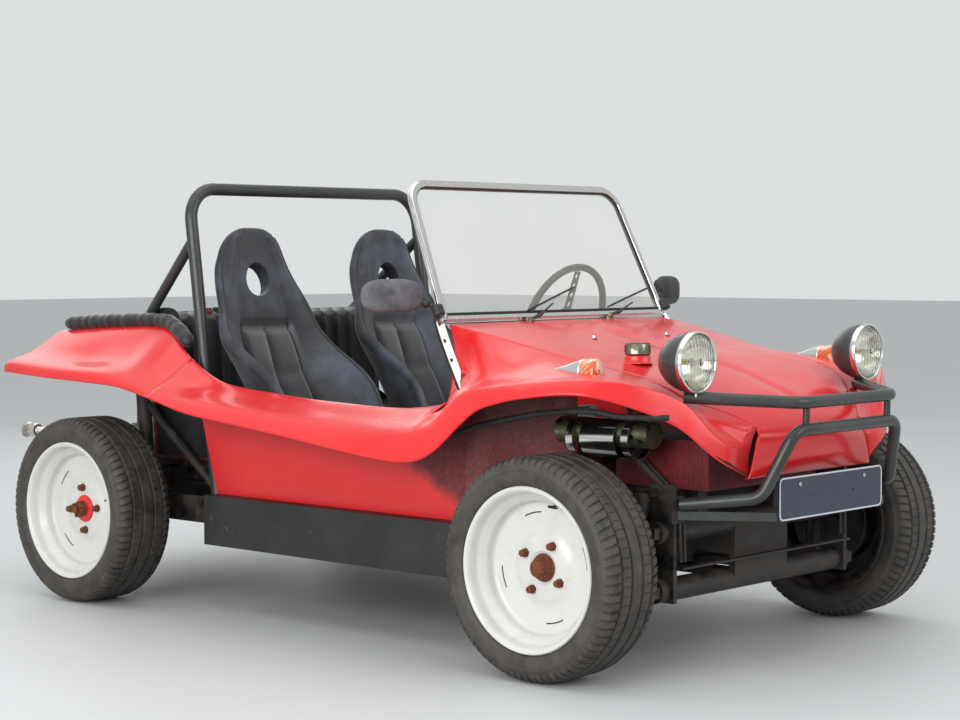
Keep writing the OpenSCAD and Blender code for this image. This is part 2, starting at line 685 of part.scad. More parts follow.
plate_y = -396;
module bumper_hoop() {
    low_z = 400;
    strap = [[392, -197], [255, plate_y], [251, plate_y + 9], [380, -197]];
    color([0.08, 0.09, 0.09]) {
        bent_tube([[-390, along(-204), 428], [-300, along(-385), 450], [-235, along(-444), 618],
                   [235, along(-444), 618], [300, along(-385), 450], [390, along(-204), 428]],
                  bumper_d / 2, 50);
        translate([0, 0, low_z - 11]) linear_extrude(22)
            polygon([for (k = [[1, 0], [1, 1], [-1, 1], [-1, 0], [-1, 3], [-1, 2], [1, 2], [1, 3]])
                [k[0] * strap[k[1]][0], along(strap[k[1]][1])]]);
        both_sides() rod([190, along(-444), 618], [190, along(-445), 686 - bumper_d / 2 - seam], 9);
    }
}

module number_plate() {
    color([0.1, 0.13, 0.2]) translate([-240, along(plate_y) - 3 - seam, 386]) difference() {
        cube([480, 3, 110]);
        for (x = [140, 340]) translate([x, -5, 55]) rotate([-90, 0, 0])
            cylinder(h = 20, r = 3, $fn = 24);
    }
}

arm_l = 95;
// Front upright with its drum plate, stub axle and steering arm, on the left side
module knuckle() {
    color([0.15, 0.13, 0.12]) {
        gap = 12 + pivot_gap;
        h = beam_rise - 2 * gap;
        translate([kingpin_x, along(0), axle_z - h / 2]) cylinder(h = h, r = 18, $fn = 48);
        x_drum(kingpin_x, hub_x - 82, along(0), axle_z, 30);
        x_drum(hub_x - 84, hub_x - 76, along(0), axle_z, drum_r - 4);
        x_drum(hub_x - 76, hub_x - 3, along(0), axle_z, 20);
        translate([kingpin_x - 40, along(0), axle_z + 10]) cube([34, arm_l + 16, 14]);
    }
}
module knuckle_left() {
    knuckle();
}
module knuckle_right() {
    mirror([1, 0, 0]) knuckle();
}

module tie_rods() {
    z = axle_z + 24 + pivot_gap + 9;
    y = along(0) + arm_l;
    color([0.12, 0.12, 0.12]) {
        rod([-kingpin_x + 23, y, z], [kingpin_x - 23, y, z], 9);
        both_sides() translate([kingpin_x - 23, y, z - 9]) cylinder(h = 18, r = 14, $fn = 32);
    }
}

module rim(side, d) {
    r = rim_d / 2;
    f = r + flange_h;
    inner = rim_edge_x - rim_w;
    outer = rim_edge_x;
    color("white") translate([0, along(d), axle_z]) mirror([side < 0 ? 1 : 0, 0, 0])
        rotate([0, 90, 0]) {
            difference() {
                rotate_extrude($fn = 128) polygon([
                    [f, outer], [f, outer - 4], [r + 2, outer - 8], [r + 2, outer - 24],
                    [r - 20, outer - 44], [r - 20, inner + 40], [r + 2, inner + 22],
                    [r + 2, inner + 8], [f, inner + 4], [f, inner], [r + 4, inner],
                    [r - 4, inner + 6], [r - 4, inner + 20], [r - 26, inner + 38],
                    [r - 26, hub_x - 8], [40, hub_x - 8], [40, hub_x],
                    [r - 50, hub_x], [r - 26, hub_x + 6], [r - 26, outer - 42],
                    [r - 4, outer - 22], [r - 4, outer - 6], [r + 4, outer]]);
                for (a = [45:90:315]) rotate([0, 0, a]) translate([bolt_r, 0, hub_x - 20])
                    cylinder(h = 40, r = 7, $fn = 32);
            }
            difference() {
                union() {
                    translate([0, 0, hub_x - 70]) cylinder(h = 62, r = drum_r, $fn = 96);
                    translate([0, 0, hub_x - 8]) cylinder(h = 22, r = 38, $fn = 64);
                }
                translate([0, 0, hub_x - 80]) cylinder(h = 66, r = drum_r - 8, $fn = 96);
                translate([0, 0, hub_x - 80]) cylinder(h = 85, r = 20 + bearing_gap, $fn = 64);
            }
        }
}
module tyre(side, d) {
    r = rim_d / 2;
    f = r + flange_h;
    o = tyre_d / 2;
    m = track / 2;
    h = tyre_w / 2;
    color([0.12, 0.11, 0.1]) translate([0, along(d), axle_z]) mirror([side < 0 ? 1 : 0, 0, 0])
        rotate([0, 90, 0]) rotate_extrude($fn = 128) polygon([
            [r + 2.2, m - h + 14], [f + 1, m - h + 10], [f + 13, m - h + 1], [o - 38, m - h],
            [o - 12, m - h + 8], [o - 3, m - h + 26], [o, m - h + 60], [o, m + h - 60],
            [o - 3, m + h - 26], [o - 12, m + h - 8], [o - 38, m + h], [f + 13, m + h - 1],
            [f + 1, m + h - 10], [r + 2.2, m + h - 14], [r + 2.2, m + h - 30],
            [r + 8, m + h - 40], [r + 8, m - h + 40], [r + 2.2, m - h + 30]]);
}
module rim_front_right() {
    rim(-1, 0);
}
module rim_front_left() {
    rim(1, 0);
}
module rim_rear_right() {
    rim(-1, nominal_base);
}
module rim_rear_left() {
    rim(1, nominal_base);
}
module tyre_front_right() {
    tyre(-1, 0);
}
module tyre_front_left() {
    tyre(1, 0);
}
module tyre_rear_right() {
    tyre(-1, nominal_base);
}
module tyre_rear_left() {
    tyre(1, nominal_base);
}

floor_pan();
sills();
cockpit_walls();
bulkheads();
front_axle();
rear_axle();
gearbox();
engine();
exhaust();
fuel_tank();
heater_canister();
bonnet();
nose_panel();
front_fenders();
body_sides();
rear_body();
windshield_frame();
windshield_glass();
wipers();
dashboard();
steering_column();
steering_wheel();
roll_bar();
seat_right();
seat_left();
rear_bench();
trim_roll();
levers();
headlights();
lamps();
mirrors();
bumper_bar();
bumper_hoop();
number_plate();
knuckle_right();
knuckle_left();
tie_rods();
rim_front_right();
tyre_front_right();
rim_front_left();
tyre_front_left();
rim_rear_right();
tyre_rear_right();
rim_rear_left();
tyre_rear_left();
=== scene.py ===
import math

import bmesh
import bpy
from mathutils import Matrix, Quaternion, Vector


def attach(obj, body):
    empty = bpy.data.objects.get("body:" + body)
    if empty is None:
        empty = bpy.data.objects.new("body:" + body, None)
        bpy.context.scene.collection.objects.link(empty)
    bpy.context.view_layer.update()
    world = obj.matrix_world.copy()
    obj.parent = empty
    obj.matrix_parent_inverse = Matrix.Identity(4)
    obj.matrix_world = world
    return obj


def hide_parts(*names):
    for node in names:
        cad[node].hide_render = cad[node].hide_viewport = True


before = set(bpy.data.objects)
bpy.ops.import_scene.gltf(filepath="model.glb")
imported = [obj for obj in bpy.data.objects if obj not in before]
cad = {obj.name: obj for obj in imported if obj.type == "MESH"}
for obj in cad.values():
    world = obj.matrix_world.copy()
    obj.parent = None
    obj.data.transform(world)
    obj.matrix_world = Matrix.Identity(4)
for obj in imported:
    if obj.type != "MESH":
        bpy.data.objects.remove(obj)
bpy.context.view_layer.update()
scene = bpy.context.scene
mm = 0.001

# camera, light and floor
view = {"place": (-4.603, -4.363, 1.048), "yaw": 42.336, "down": 2.557, "roll": -0.07,
        "lens": 78.69, "shift": -0.009}


def makeCamera():
    data = bpy.data.cameras.new("viewCamera")
    data.lens, data.sensor_width, data.shift_y = view["lens"], 36, view["shift"]
    data.clip_start, data.clip_end = 0.05, 200
    camera = bpy.data.objects.new("viewCamera", data)
    scene.collection.objects.link(camera)
    yaw, down = math.radians(view["yaw"]), math.radians(view["down"])
    look = Vector((math.cos(down) * math.cos(yaw), math.cos(down) * math.sin(yaw), -math.sin(down)))
    camera.location = view["place"]
    camera.rotation_mode = "QUATERNION"
    camera.rotation_quaternion = (look.to_track_quat("-Z", "Y")
                                  @ Quaternion((0, 0, 1), math.radians(view["roll"])))
    scene.camera = camera


def softLamp(name, place, aim, size, power):
    data = bpy.data.lights.new(name, "AREA")
    data.shape, data.size, data.size_y, data.energy = "RECTANGLE", size[0], size[1], power
    lamp = bpy.data.objects.new(name, data)
    lamp.location = place
    lamp.rotation_mode = "QUATERNION"
    lamp.rotation_quaternion = (Vector(aim) - Vector(place)).to_track_quat("-Z", "Y")
    scene.collection.objects.link(lamp)


# each lamp: place, aim, size in metres, watts
studio = {"lamps": {"topSoft": ((-0.5, 0, 5.2), (0, 0, 0), (7, 7), 150),
                    "sideSoft": ((-5.5, -1.6, 1.9), (0, 0.1, 0.5), (5, 2.6), 215),
                    "frontSoft": ((1.5, -6.0, 3.0), (0, -0.5, 0.5), (4.5, 3), 95),
                    "backSoft": ((2.5, 5.5, 3.4), (0, 0, 0.6), (6, 3), 60)},
          "sky": (0.93, 0.95, 0.96, 1), "skyStrength": 0.78, "floorHalf": 40}


def makeLight():
    for name, values in studio["lamps"].items():
        softLamp(name, *values)
    world = bpy.data.worlds.new("studio")
    world.use_nodes = True
    sky = world.node_tree.nodes["Background"]
    sky.inputs["Color"].default_value = studio["sky"]
    sky.inputs["Strength"].default_value = studio["skyStrength"]
    scene.world = world
    scene.view_settings.view_transform = "Standard"


# materials: each function is one real stuff and its finish
def linear(hexColour):
    parts = [int(hexColour[i:i + 2], 16) / 255 for i in (1, 3, 5)]
    return tuple(c / 12.92 if c <= 0.04045 else ((c + 0.055) / 1.055) ** 2.4 for c in parts) + (1,)


# adds a node and gives back one of its outputs; inputs come in socket order, None leaving one as
# it is, or as a dictionary. Noise scale is 1000 / size in mm; MapRange reads value, from, to; in
# Mix 0 is the share and 6 and 7 are the two colours
def addNode(tree, kind, *inputs, give=0, **settings):
    made = tree.nodes.new("ShaderNode" + kind)
    for name, value in settings.items():
        setattr(made, name, value)
    given = inputs[0].items() if inputs and isinstance(inputs[0], dict) else enumerate(inputs)
    for name, value in given:
        if isinstance(value, bpy.types.NodeSocket):
            tree.links.new(value, made.inputs[name])
        elif value is not None:
            made.inputs[name].default_value = value
    return made.outputs[give]


def newMaterial(name, inputs):
    made = bpy.data.materials.new(name)
    made.use_nodes = True
    tree = made.node_tree
    shader = tree.nodes["Principled BSDF"]
    for key, value in inputs.items():
        shader.inputs[key].default_value = value
    place = addNode(tree, "TexCoord", give="Object")
    return made, tree, shader, place


# Polyester gelcoat over glass fibre, moulded and polished: even red, faint waves, dulled patches
def redGelcoat():
    made, tree, shader, place = newMaterial("redGelcoat", {"IOR": 1.5, "Coat Weight": 0.35,
                                                           "Coat Roughness": 0.12})
    fade = addNode(tree, "TexNoise", place, None, 1000 / 420, 3, 0.55)
    tint = addNode(tree, "Mix", {0: addNode(tree, "MapRange", fade, 0.35, 0.7),
                                 6: linear("#CC1216"), 7: linear("#DA1C1E")}, give=2,
                                 data_type="RGBA")
    scuff = addNode(tree, "TexNoise", place, None, 1000 / 22, 6, 0.7)
    dust = addNode(tree, "Mix", {0: addNode(tree, "MapRange", scuff, 0.68, 0.82, 0, 0.35), 6: tint,
                                 7: linear("#E8605A")}, give=2, data_type="RGBA")
    tree.links.new(dust, shader.inputs["Base Color"])
    tree.links.new(addNode(tree, "MapRange",
                           addNode(tree, "TexNoise", place, None, 1000 / 160, 5, 0.55), 0.3, 0.75,
                           0.24, 0.42),
                   shader.inputs["Roughness"])
    tree.links.new(addNode(tree, "Bump",
                           {"Height": addNode(tree, "TexNoise", place, None, 1000 / 90, 2, 0.55),
                            "Distance": 0.5 * mm, "Strength": 0.35}), shader.inputs["Normal"])
    return made


# Raw laminate painted thinly: chopped-strand lumps show through, dull and darker, chipped white
def roughLaminate():
    made, tree, shader, place = newMaterial("roughLaminate", {"IOR": 1.5})
    strands = addNode(tree, "TexNoise", place, None, 1000 / 14, 7, 0.7)
    grime = addNode(tree, "TexNoise", place, None, 1000 / 120, 4, 0.55)
    tone = addNode(tree, "Mix", {0: addNode(tree, "MapRange", grime, 0.35, 0.7),
                                 6: linear("#3E0C12"), 7: linear("#6E1219")}, give=2,
                                 data_type="RGBA")
    chips = addNode(tree, "TexVoronoi", {"Vector": place, "Scale": 140.0}, give="Distance")
    tone = addNode(tree, "Mix", {0: addNode(tree, "MapRange", chips, 0.06, 0.02, 0, 0.5), 6: tone,
                                 7: linear("#B99A98")}, give=2, data_type="RGBA")
    tree.links.new(tone, shader.inputs["Base Color"])
    tree.links.new(addNode(tree, "MapRange", strands, 0.3, 0.7, 0.35, 0.7),
                   shader.inputs["Roughness"])
    tree.links.new(addNode(tree, "Bump",
                           {"Height": strands, "Distance": 3.0 * mm, "Strength": 0.7}),
                           shader.inputs["Normal"])
    return made


# Sprayed bitumen underseal: thick, lumpy, black-brown and dull
def underseal():
    made, tree, shader, place = newMaterial("underseal", {"IOR": 1.5, "Roughness": 0.8})
    lumps = addNode(tree, "TexNoise", place, None, 1000 / 11, 6, 0.7)
    tree.links.new(addNode(tree, "Mix", {0: addNode(tree, "MapRange",
                                                    addNode(tree, "TexNoise", place, None,
                                                            1000 / 130, 5, 0.55), 0.4, 0.75),
                                                            6: linear("#0C0B0B"),
                                                            7: linear("#2B211E")}, give=2,
                                                            data_type="RGBA"),
                                                            shader.inputs["Base Color"])
    tree.links.new(addNode(tree, "Bump", {"Height": lumps, "Distance": 2.5 * mm, "Strength": 0.7}),
                   shader.inputs["Normal"])
    return made


# The tub's side: gloss red low down, rough maroon laminate up under the front arch, its dark tone
# there partly painted shade under the body flange
def tubSide():
    made, tree, shader, place = newMaterial("tubSide", {"IOR": 1.5, "Coat Weight": 0.2,
                                                        "Coat Roughness": 0.2})
    strands = addNode(tree, "TexNoise", place, None, 1000 / 14, 7, 0.7)
    reach = addNode(tree, "Math", addNode(tree, "SeparateXYZ", place, give="Y"), -0.55,
                    operation="MULTIPLY")
    height = addNode(tree, "Math", addNode(tree, "SeparateXYZ", place, give="Z"), reach,
                     operation="ADD")
    ragged = addNode(tree, "Math", height,
                     addNode(tree, "MapRange",
                             addNode(tree, "TexNoise", place, None, 1000 / 90, 5, 0.55), 0, 1,
                             -0.05, 0.05),
                     operation="ADD")
    # painted shade: above this ragged line the side turns maroon, partly its real laminate and
    # partly the flange's shadow
    laminateShadeMask = addNode(tree, "MapRange", ragged, 0.70, 0.745)
    chips = addNode(tree, "TexVoronoi", {"Vector": place, "Scale": 110.0}, give="Distance")
    edge = addNode(tree, "MapRange", addNode(tree, "Math", ragged, 0.68, operation="SUBTRACT"),
                   -0.02, 0.02)
    red = addNode(tree, "Mix", {0: addNode(tree, "MapRange",
                                           addNode(tree, "TexNoise", place, None, 1000 / 300, 3,
                                                   0.55), 0.3, 0.7), 6: linear("#C41519"),
                                                   7: linear("#D31F21")}, give=2, data_type="RGBA")
    # maroon laminate colours, kept dark as painted shade under the flange as well
    laminateShadeTone = addNode(tree, "Mix", {0: addNode(tree, "MapRange", strands, 0.35, 0.65),
                                   6: linear("#4A0E14"), 7: linear("#7C171D")}, give=2,
                                   data_type="RGBA")
    tone = addNode(tree, "Mix", {0: laminateShadeMask, 6: red, 7: laminateShadeTone}, give=2, data_type="RGBA")
    flecks = addNode(tree, "Math", addNode(tree, "MapRange", chips, 0.10, 0.05), edge,
                     operation="MULTIPLY")
    tone = addNode(tree, "Mix", {0: flecks, 6: tone, 7: linear("#D9A9A6")}, give=2,
                   data_type="RGBA")
    tree.links.new(tone, shader.inputs["Base Color"])
    tree.links.new(addNode(tree, "MapRange", laminateShadeMask, 0, 1, 0.3, 0.6), shader.inputs["Roughness"])
    lumps = addNode(tree, "Math", strands, addNode(tree, "MapRange", ragged, 0.6, 0.72, 0.06, 1),
                    operation="MULTIPLY")
    tree.links.new(addNode(tree, "Bump", {"Height": lumps, "Distance": 3.0 * mm, "Strength": 0.6}),
                   shader.inputs["Normal"])
    return made


# Sprayed-on satin black over folded steel: worn to grey in patches, stone chips to rust scattered
# over it
def satinPaint(name, body="#141414", worn="#4A4744", share=0.78, gloss=0.42):
    made, tree, shader, place = newMaterial(name, {"IOR": 1.5})
    grain = addNode(tree, "TexNoise", place, None, 1000 / 30, 7, 0.72)
    age = addNode(tree, "TexNoise", place, None, 1000 / 200, 3, 0.55)
    paint = addNode(tree, "Mix", {0: addNode(tree, "MapRange", age, 0.3, 0.7), 6: linear(body),
                                  7: linear(worn)}, give=2, data_type="RGBA")
    chips = addNode(tree, "MapRange", grain, share - 0.08, share + 0.04, 0, 0.8)
    tone = addNode(tree, "Mix", {0: chips, 6: paint, 7: linear("#7A6552")}, give=2,
                   data_type="RGBA")
    tree.links.new(tone, shader.inputs["Base Color"])
    tree.links.new(addNode(tree, "MapRange", grain, 0.3, 0.75, gloss - 0.1, gloss + 0.18),
                   shader.inputs["Roughness"])
    tree.links.new(addNode(tree, "Bump",
                           {"Height": addNode(tree, "TexNoise", place, None, 1000 / 5, 3, 0.55),
                            "Distance": 0.3 * mm, "Strength": 0.3}), shader.inputs["Normal"])
    return made


# Road-dirty chassis black: dry brown dust over old enamel, rust freckles
def dirtyChassis():
    made, tree, shader, place = newMaterial("dirtyChassis", {"IOR": 1.5})
    dirt = addNode(tree, "TexNoise", place, None, 1000 / 60, 8, 0.7)
    fine = addNode(tree, "TexNoise", place, None, 1000 / 9, 6, 0.7)
    tone = addNode(tree, "Mix", {0: addNode(tree, "MapRange", dirt, 0.42, 0.68, 0, 0.75),
                                 6: linear("#161413"), 7: linear("#4B423A")}, give=2,
                                 data_type="RGBA")
    tone = addNode(tree, "Mix", {0: addNode(tree, "MapRange", fine, 0.64, 0.76, 0, 0.7), 6: tone,
                                 7: linear("#7A4A2A")}, give=2, data_type="RGBA")
    tree.links.new(tone, shader.inputs["Base Color"])
    tree.links.new(addNode(tree, "MapRange", dirt, 0.35, 0.65, 0.38, 0.85),
                   shader.inputs["Roughness"])
    tree.links.new(addNode(tree, "Bump", {"Height": fine, "Distance": 0.8 * mm, "Strength": 0.5}),
                   shader.inputs["Normal"])
    return made


# Sand-cast aluminium gone dull and oily
def castAlloy():
    made, tree, shader, place = newMaterial("castAlloy", {"Metallic": 0.85})
    oil = addNode(tree, "TexNoise", place, None, 1000 / 80, 7, 0.7)
    tone = addNode(tree, "Mix", {0: addNode(tree, "MapRange", oil, 0.4, 0.65), 6: linear("#8E8B85"),
                                 7: linear("#3A332C")}, give=2, data_type="RGBA")
    tree.links.new(tone, shader.inputs["Base Color"])
    tree.links.new(addNode(tree, "MapRange", oil, 0.3, 0.7, 0.42, 0.75), shader.inputs["Roughness"])
    tree.links.new(addNode(tree, "Bump",
                           {"Height": addNode(tree, "TexNoise", place, None, 1000 / 3, 4, 0.7),
                            "Distance": 0.4 * mm, "Strength": 0.6}), shader.inputs["Normal"])
    return made


# Old bright plating: mirror-like with grey haze, pits, and bare peeled patches
def wornPlating(name, haze=0.5, patch="#8D867B", rust="#6B4A33", bright="#D9D9D6"):
    made, tree, shader, place = newMaterial(name, {"Metallic": 1.0})
    peel = addNode(tree, "TexNoise", place, None, 1000 / 34, 6, 0.72)
    pit = addNode(tree, "TexNoise", place, None, 1000 / 5, 5, 0.7)
    tone = addNode(tree, "Mix", {0: addNode(tree, "MapRange", peel, haze + 0.06, haze + 0.1),
                                 6: linear(bright), 7: linear(patch)}, give=2, data_type="RGBA")
    tone = addNode(tree, "Mix", {0: addNode(tree, "MapRange", pit, 0.68, 0.74, 0, 0.85), 6: tone,
                                 7: linear(rust)}, give=2, data_type="RGBA")
    tree.links.new(tone, shader.inputs["Base Color"])
    tree.links.new(addNode(tree, "MapRange", peel, haze, haze + 0.12, 0.16, 0.55),
                   shader.inputs["Roughness"])
    tree.links.new(addNode(tree, "Bump", {"Height": peel, "Distance": 0.4 * mm, "Strength": 0.4}),
                   shader.inputs["Normal"])
    return made


# Pressed steel in white enamel: soft gloss, brake dust in patches, rust freckles
def whiteEnamel():
    made, tree, shader, place = newMaterial("whiteEnamel", {"IOR": 1.5, "Coat Weight": 0.3,
                                                            "Coat Roughness": 0.15})
    dust = addNode(tree, "TexNoise", place, None, 1000 / 55, 6, 0.65)
    spot = addNode(tree, "TexNoise", place, None, 1000 / 6, 4, 0.7)
    tone = addNode(tree, "Mix", {0: addNode(tree, "MapRange", dust, 0.5, 0.78, 0, 0.35),
                                 6: linear("#CACAC6"), 7: linear("#A8A399")}, give=2,
                                 data_type="RGBA")
    tone = addNode(tree, "Mix", {0: addNode(tree, "MapRange", spot, 0.73, 0.79, 0, 0.6), 6: tone,
                                 7: linear("#9A7355")}, give=2, data_type="RGBA")
    tree.links.new(tone, shader.inputs["Base Color"])
    tree.links.new(addNode(tree, "MapRange", dust, 0.3, 0.7, 0.26, 0.4), shader.inputs["Roughness"])
    tree.links.new(addNode(tree, "Bump",
                           {"Height": addNode(tree, "TexNoise", place, None, 1000 / 40, 2, 0.55),
                            "Distance": 0.3 * mm, "Strength": 0.25}), shader.inputs["Normal"])
    return made


# Bare steel left outdoors: brown oxide with darker scale
def rustySteel():
    made, tree, shader, place = newMaterial("rustySteel", {"Metallic": 0.25})
    scale = addNode(tree, "TexNoise", place, None, 1000 / 5, 7, 0.75)
    tone = addNode(tree, "Mix", {0: addNode(tree, "MapRange", scale, 0.35, 0.65),
                                 6: linear("#3B2017"), 7: linear("#8A4A2B")}, give=2,
                                 data_type="RGBA")
    tree.links.new(tone, shader.inputs["Base Color"])
    shader.inputs["Roughness"].default_value = 0.75
    tree.links.new(addNode(tree, "Bump", {"Height": scale, "Distance": 0.8 * mm, "Strength": 0.8}),
                   shader.inputs["Normal"])
    return made


# Carbon-filled tyre rubber: brown-black, with dusty patches that are also rougher
def tyreRubber():
    made, tree, shader, place = newMaterial("tyreRubber", {"IOR": 1.52})
    dust = addNode(tree, "TexNoise", place, None, 1000 / 45, 7, 0.7)
    tone = addNode(tree, "Mix", {0: addNode(tree, "MapRange", dust, 0.38, 0.72),
                                 6: linear("#2A2724"), 7: linear("#4B453F")}, give=2,
                                 data_type="RGBA")
    tree.links.new(tone, shader.inputs["Base Color"])
    tree.links.new(addNode(tree, "MapRange", dust, 0.3, 0.7, 0.5, 0.72), shader.inputs["Roughness"])
    tree.links.new(addNode(tree, "Bump",
                           {"Height": addNode(tree, "TexNoise", place, None, 1000 / 2.5, 4, 0.7),
                            "Distance": 0.25 * mm, "Strength": 0.5}), shader.inputs["Normal"])
    return made


# Calendered vinyl on foam: fine leather grain, lighter blue-grey in random patches
def seatVinyl(name="seatVinyl", base="#15171B", lighterTone="#39404D"):
    made, tree, shader, place = newMaterial(name, {"IOR": 1.5, "Sheen Weight": 0.15})
    lighterPatch = addNode(tree, "TexNoise", place, None, 1000 / 170, 5, 0.6)
    crack = addNode(tree, "TexNoise", place, None, 1000 / 16, 6, 0.7)
    tone = addNode(tree, "Mix", {0: addNode(tree, "MapRange", lighterPatch, 0.45, 0.7), 6: linear(base),
                                 7: linear(lighterTone)}, give=2, data_type="RGBA")
    tone = addNode(tree, "Mix", {0: addNode(tree, "MapRange", crack, 0.66, 0.8, 0, 0.5), 6: tone,
                                 7: linear("#6D6E70")}, give=2, data_type="RGBA")
    tree.links.new(tone, shader.inputs["Base Color"])
    tree.links.new(addNode(tree, "MapRange", lighterPatch, 0.3, 0.7, 0.36, 0.55), shader.inputs["Roughness"])
    cells = addNode(tree, "TexVoronoi", {"Vector": place, "Scale": 1000 / 2.6}, give="Distance")
    tree.links.new(addNode(tree, "Bump", {"Height": cells, "Distance": 0.35 * mm, "Strength": 0.5}),
                   shader.inputs["Normal"])
    return made


# Brushed nylon seat facing: soft, no gloss, faint weave drawn at 2 mm so it shows
def brushedCloth():
    made, tree, shader, place = newMaterial("brushedCloth", {"Roughness": 0.95, "Sheen Weight": 0.5,
                                                             "Sheen Roughness": 0.6})
    pile = addNode(tree, "TexNoise", place, None, 1000 / 60, 5, 0.6)
    tone = addNode(tree, "Mix", {0: addNode(tree, "MapRange", pile, 0.35, 0.7),
                                 6: linear("#121316"), 7: linear("#24262B")}, give=2,
                                 data_type="RGBA")
    tree.links.new(tone, shader.inputs["Base Color"])
    across = addNode(tree, "TexWave", {"Vector": place, "Scale": 1000 / 2 / 6.3, "Distortion": 0.6},
                     bands_direction="X", give="Fac")
    along = addNode(tree, "TexWave", {"Vector": place, "Scale": 1000 / 2 / 6.3, "Distortion": 0.6},
                    bands_direction="DIAGONAL", give="Fac")
    weave = addNode(tree, "Math", across, along, operation="MAXIMUM")
    tree.links.new(addNode(tree, "Bump", {"Height": weave, "Distance": 0.4 * mm, "Strength": 0.5}),
                   shader.inputs["Normal"])
    return made


# Moulded ABS or nylon: fine spark texture, greyed by the sun in patches
def mouldedPlastic(name="mouldedPlastic", base="#131313", faded="#2A2A2A", rough=0.5):
    made, tree, shader, place = newMaterial(name, {"IOR": 1.5})
    sun = addNode(tree, "TexNoise", place, None, 1000 / 55, 5, 0.65)
    tree.links.new(addNode(tree, "Mix", {0: addNode(tree, "MapRange", sun, 0.35, 0.7),
                                         6: linear(base), 7: linear(faded)}, give=2,
                                         data_type="RGBA"),
                   shader.inputs["Base Color"])
    tree.links.new(addNode(tree, "MapRange", sun, 0.3, 0.7, rough - 0.08, rough + 0.14),
                   shader.inputs["Roughness"])
    tree.links.new(addNode(tree, "Bump",
                           {"Height": addNode(tree, "TexNoise", place, None, 1000 / 1.6, 3, 0.55),
                            "Distance": 0.2 * mm, "Strength": 0.5}), shader.inputs["Normal"])
    return made


# Extruded sealing rubber, matt black
def sealRubber():
    made, tree, shader, place = newMaterial("sealRubber", {"IOR": 1.5, "Roughness": 0.7})
    age = addNode(tree, "TexNoise", place, None, 1000 / 25, 5, 0.55)
    tree.links.new(addNode(tree, "Mix", {0: addNode(tree, "MapRange", age, 0.35, 0.7),
                                         6: linear("#0D0D0D"), 7: linear("#2B2A28")}, give=2,
                                         data_type="RGBA"),
                   shader.inputs["Base Color"])
    tree.links.new(addNode(tree, "Bump", {"Height": age, "Distance": 0.3 * mm, "Strength": 0.4}),
                   shader.inputs["Normal"])
    return made


# Toughened float glass with its slight green, a faint dusty film in patches
def floatGlass():
    made, tree, shader, place = newMaterial("floatGlass", {"IOR": 1.52, "Alpha": 0.13,
                                                           "Specular IOR Level": 0.6})
    film = addNode(tree, "TexNoise", place, None, 1000 / 140, 4, 0.55)
    tree.links.new(addNode(tree, "Mix", {0: addNode(tree, "MapRange", film, 0.3, 0.7),
                                         6: linear("#C9D3C4"), 7: linear("#DADFD2")}, give=2,
                                         data_type="RGBA"),
                   shader.inputs["Base Color"])
    tree.links.new(addNode(tree, "MapRange", film, 0.3, 0.8, 0.04, 0.12),
                   shader.inputs["Roughness"])
    made.surface_render_method = "BLENDED"
    return made


# Pressed lamp glass: clear, fluted in upright ribs about 6 mm apart
def flutedGlass():
    made, tree, shader, place = newMaterial("flutedGlass", {"IOR": 1.5, "Transmission Weight": 1.0,
                                                            "Roughness": 0.03})
    ribs = addNode(tree, "TexWave", {"Vector": place, "Scale": 1000 / 6 / 6.3}, bands_direction="X",
                   wave_profile="SIN", give="Fac")
    film = addNode(tree, "TexNoise", place, None, 1000 / 30, 4, 0.55)
    tree.links.new(addNode(tree, "Mix", {0: addNode(tree, "MapRange", film, 0.4, 0.8),
                                         6: linear("#FFFFFF"), 7: linear("#EDEBDD")}, give=2,
                                         data_type="RGBA"),
                   shader.inputs["Base Color"])
    tree.links.new(addNode(tree, "Bump", {"Height": ribs, "Distance": 0.9 * mm, "Strength": 0.5}),
                   shader.inputs["Normal"])
    return made


# Vacuum-silvered reflector behind the lens
def silveredBowl():
    made, tree, shader, place = newMaterial("silveredBowl", {"Metallic": 1.0})
    haze = addNode(tree, "TexNoise", place, None, 1000 / 20, 4, 0.55)
    tree.links.new(addNode(tree, "Mix", {0: addNode(tree, "MapRange", haze, 0.3, 0.8),
                                         6: linear("#F2F2EC"), 7: linear("#CFCBB8")}, give=2,
                                         data_type="RGBA"),
                   shader.inputs["Base Color"])
    tree.links.new(addNode(tree, "MapRange", haze, 0.3, 0.8, 0.12, 0.28),
                   shader.inputs["Roughness"])
    return made


# Back-silvered mirror glass, a little hazy
def silverGlass():
    made, tree, shader, place = newMaterial("silverGlass", {"Metallic": 1.0})
    haze = addNode(tree, "TexNoise", place, None, 1000 / 40, 4, 0.55)
    tree.links.new(addNode(tree, "Mix", {0: haze, 6: linear("#DADFE2"), 7: linear("#C2C8CB")},
                           give=2, data_type="RGBA"), shader.inputs["Base Color"])
    tree.links.new(addNode(tree, "MapRange", haze, 0.3, 0.8, 0.03, 0.12),
                   shader.inputs["Roughness"])
    return made


# Blown lamp glass with a yellow filter coat
def bulbGlass():
    made, tree, shader, place = newMaterial("bulbGlass", {"IOR": 1.5, "Roughness": 0.1,
                                                          "Transmission Weight": 0.3})
    tree.links.new(addNode(tree, "Mix", {0: addNode(tree, "TexNoise", place, None, 1000 / 12, 3,
                                                    0.55), 6: linear("#E8C23A"),
                                                    7: linear("#F4DC78")}, give=2,
                                                    data_type="RGBA"),
                   shader.inputs["Base Color"])
    return made


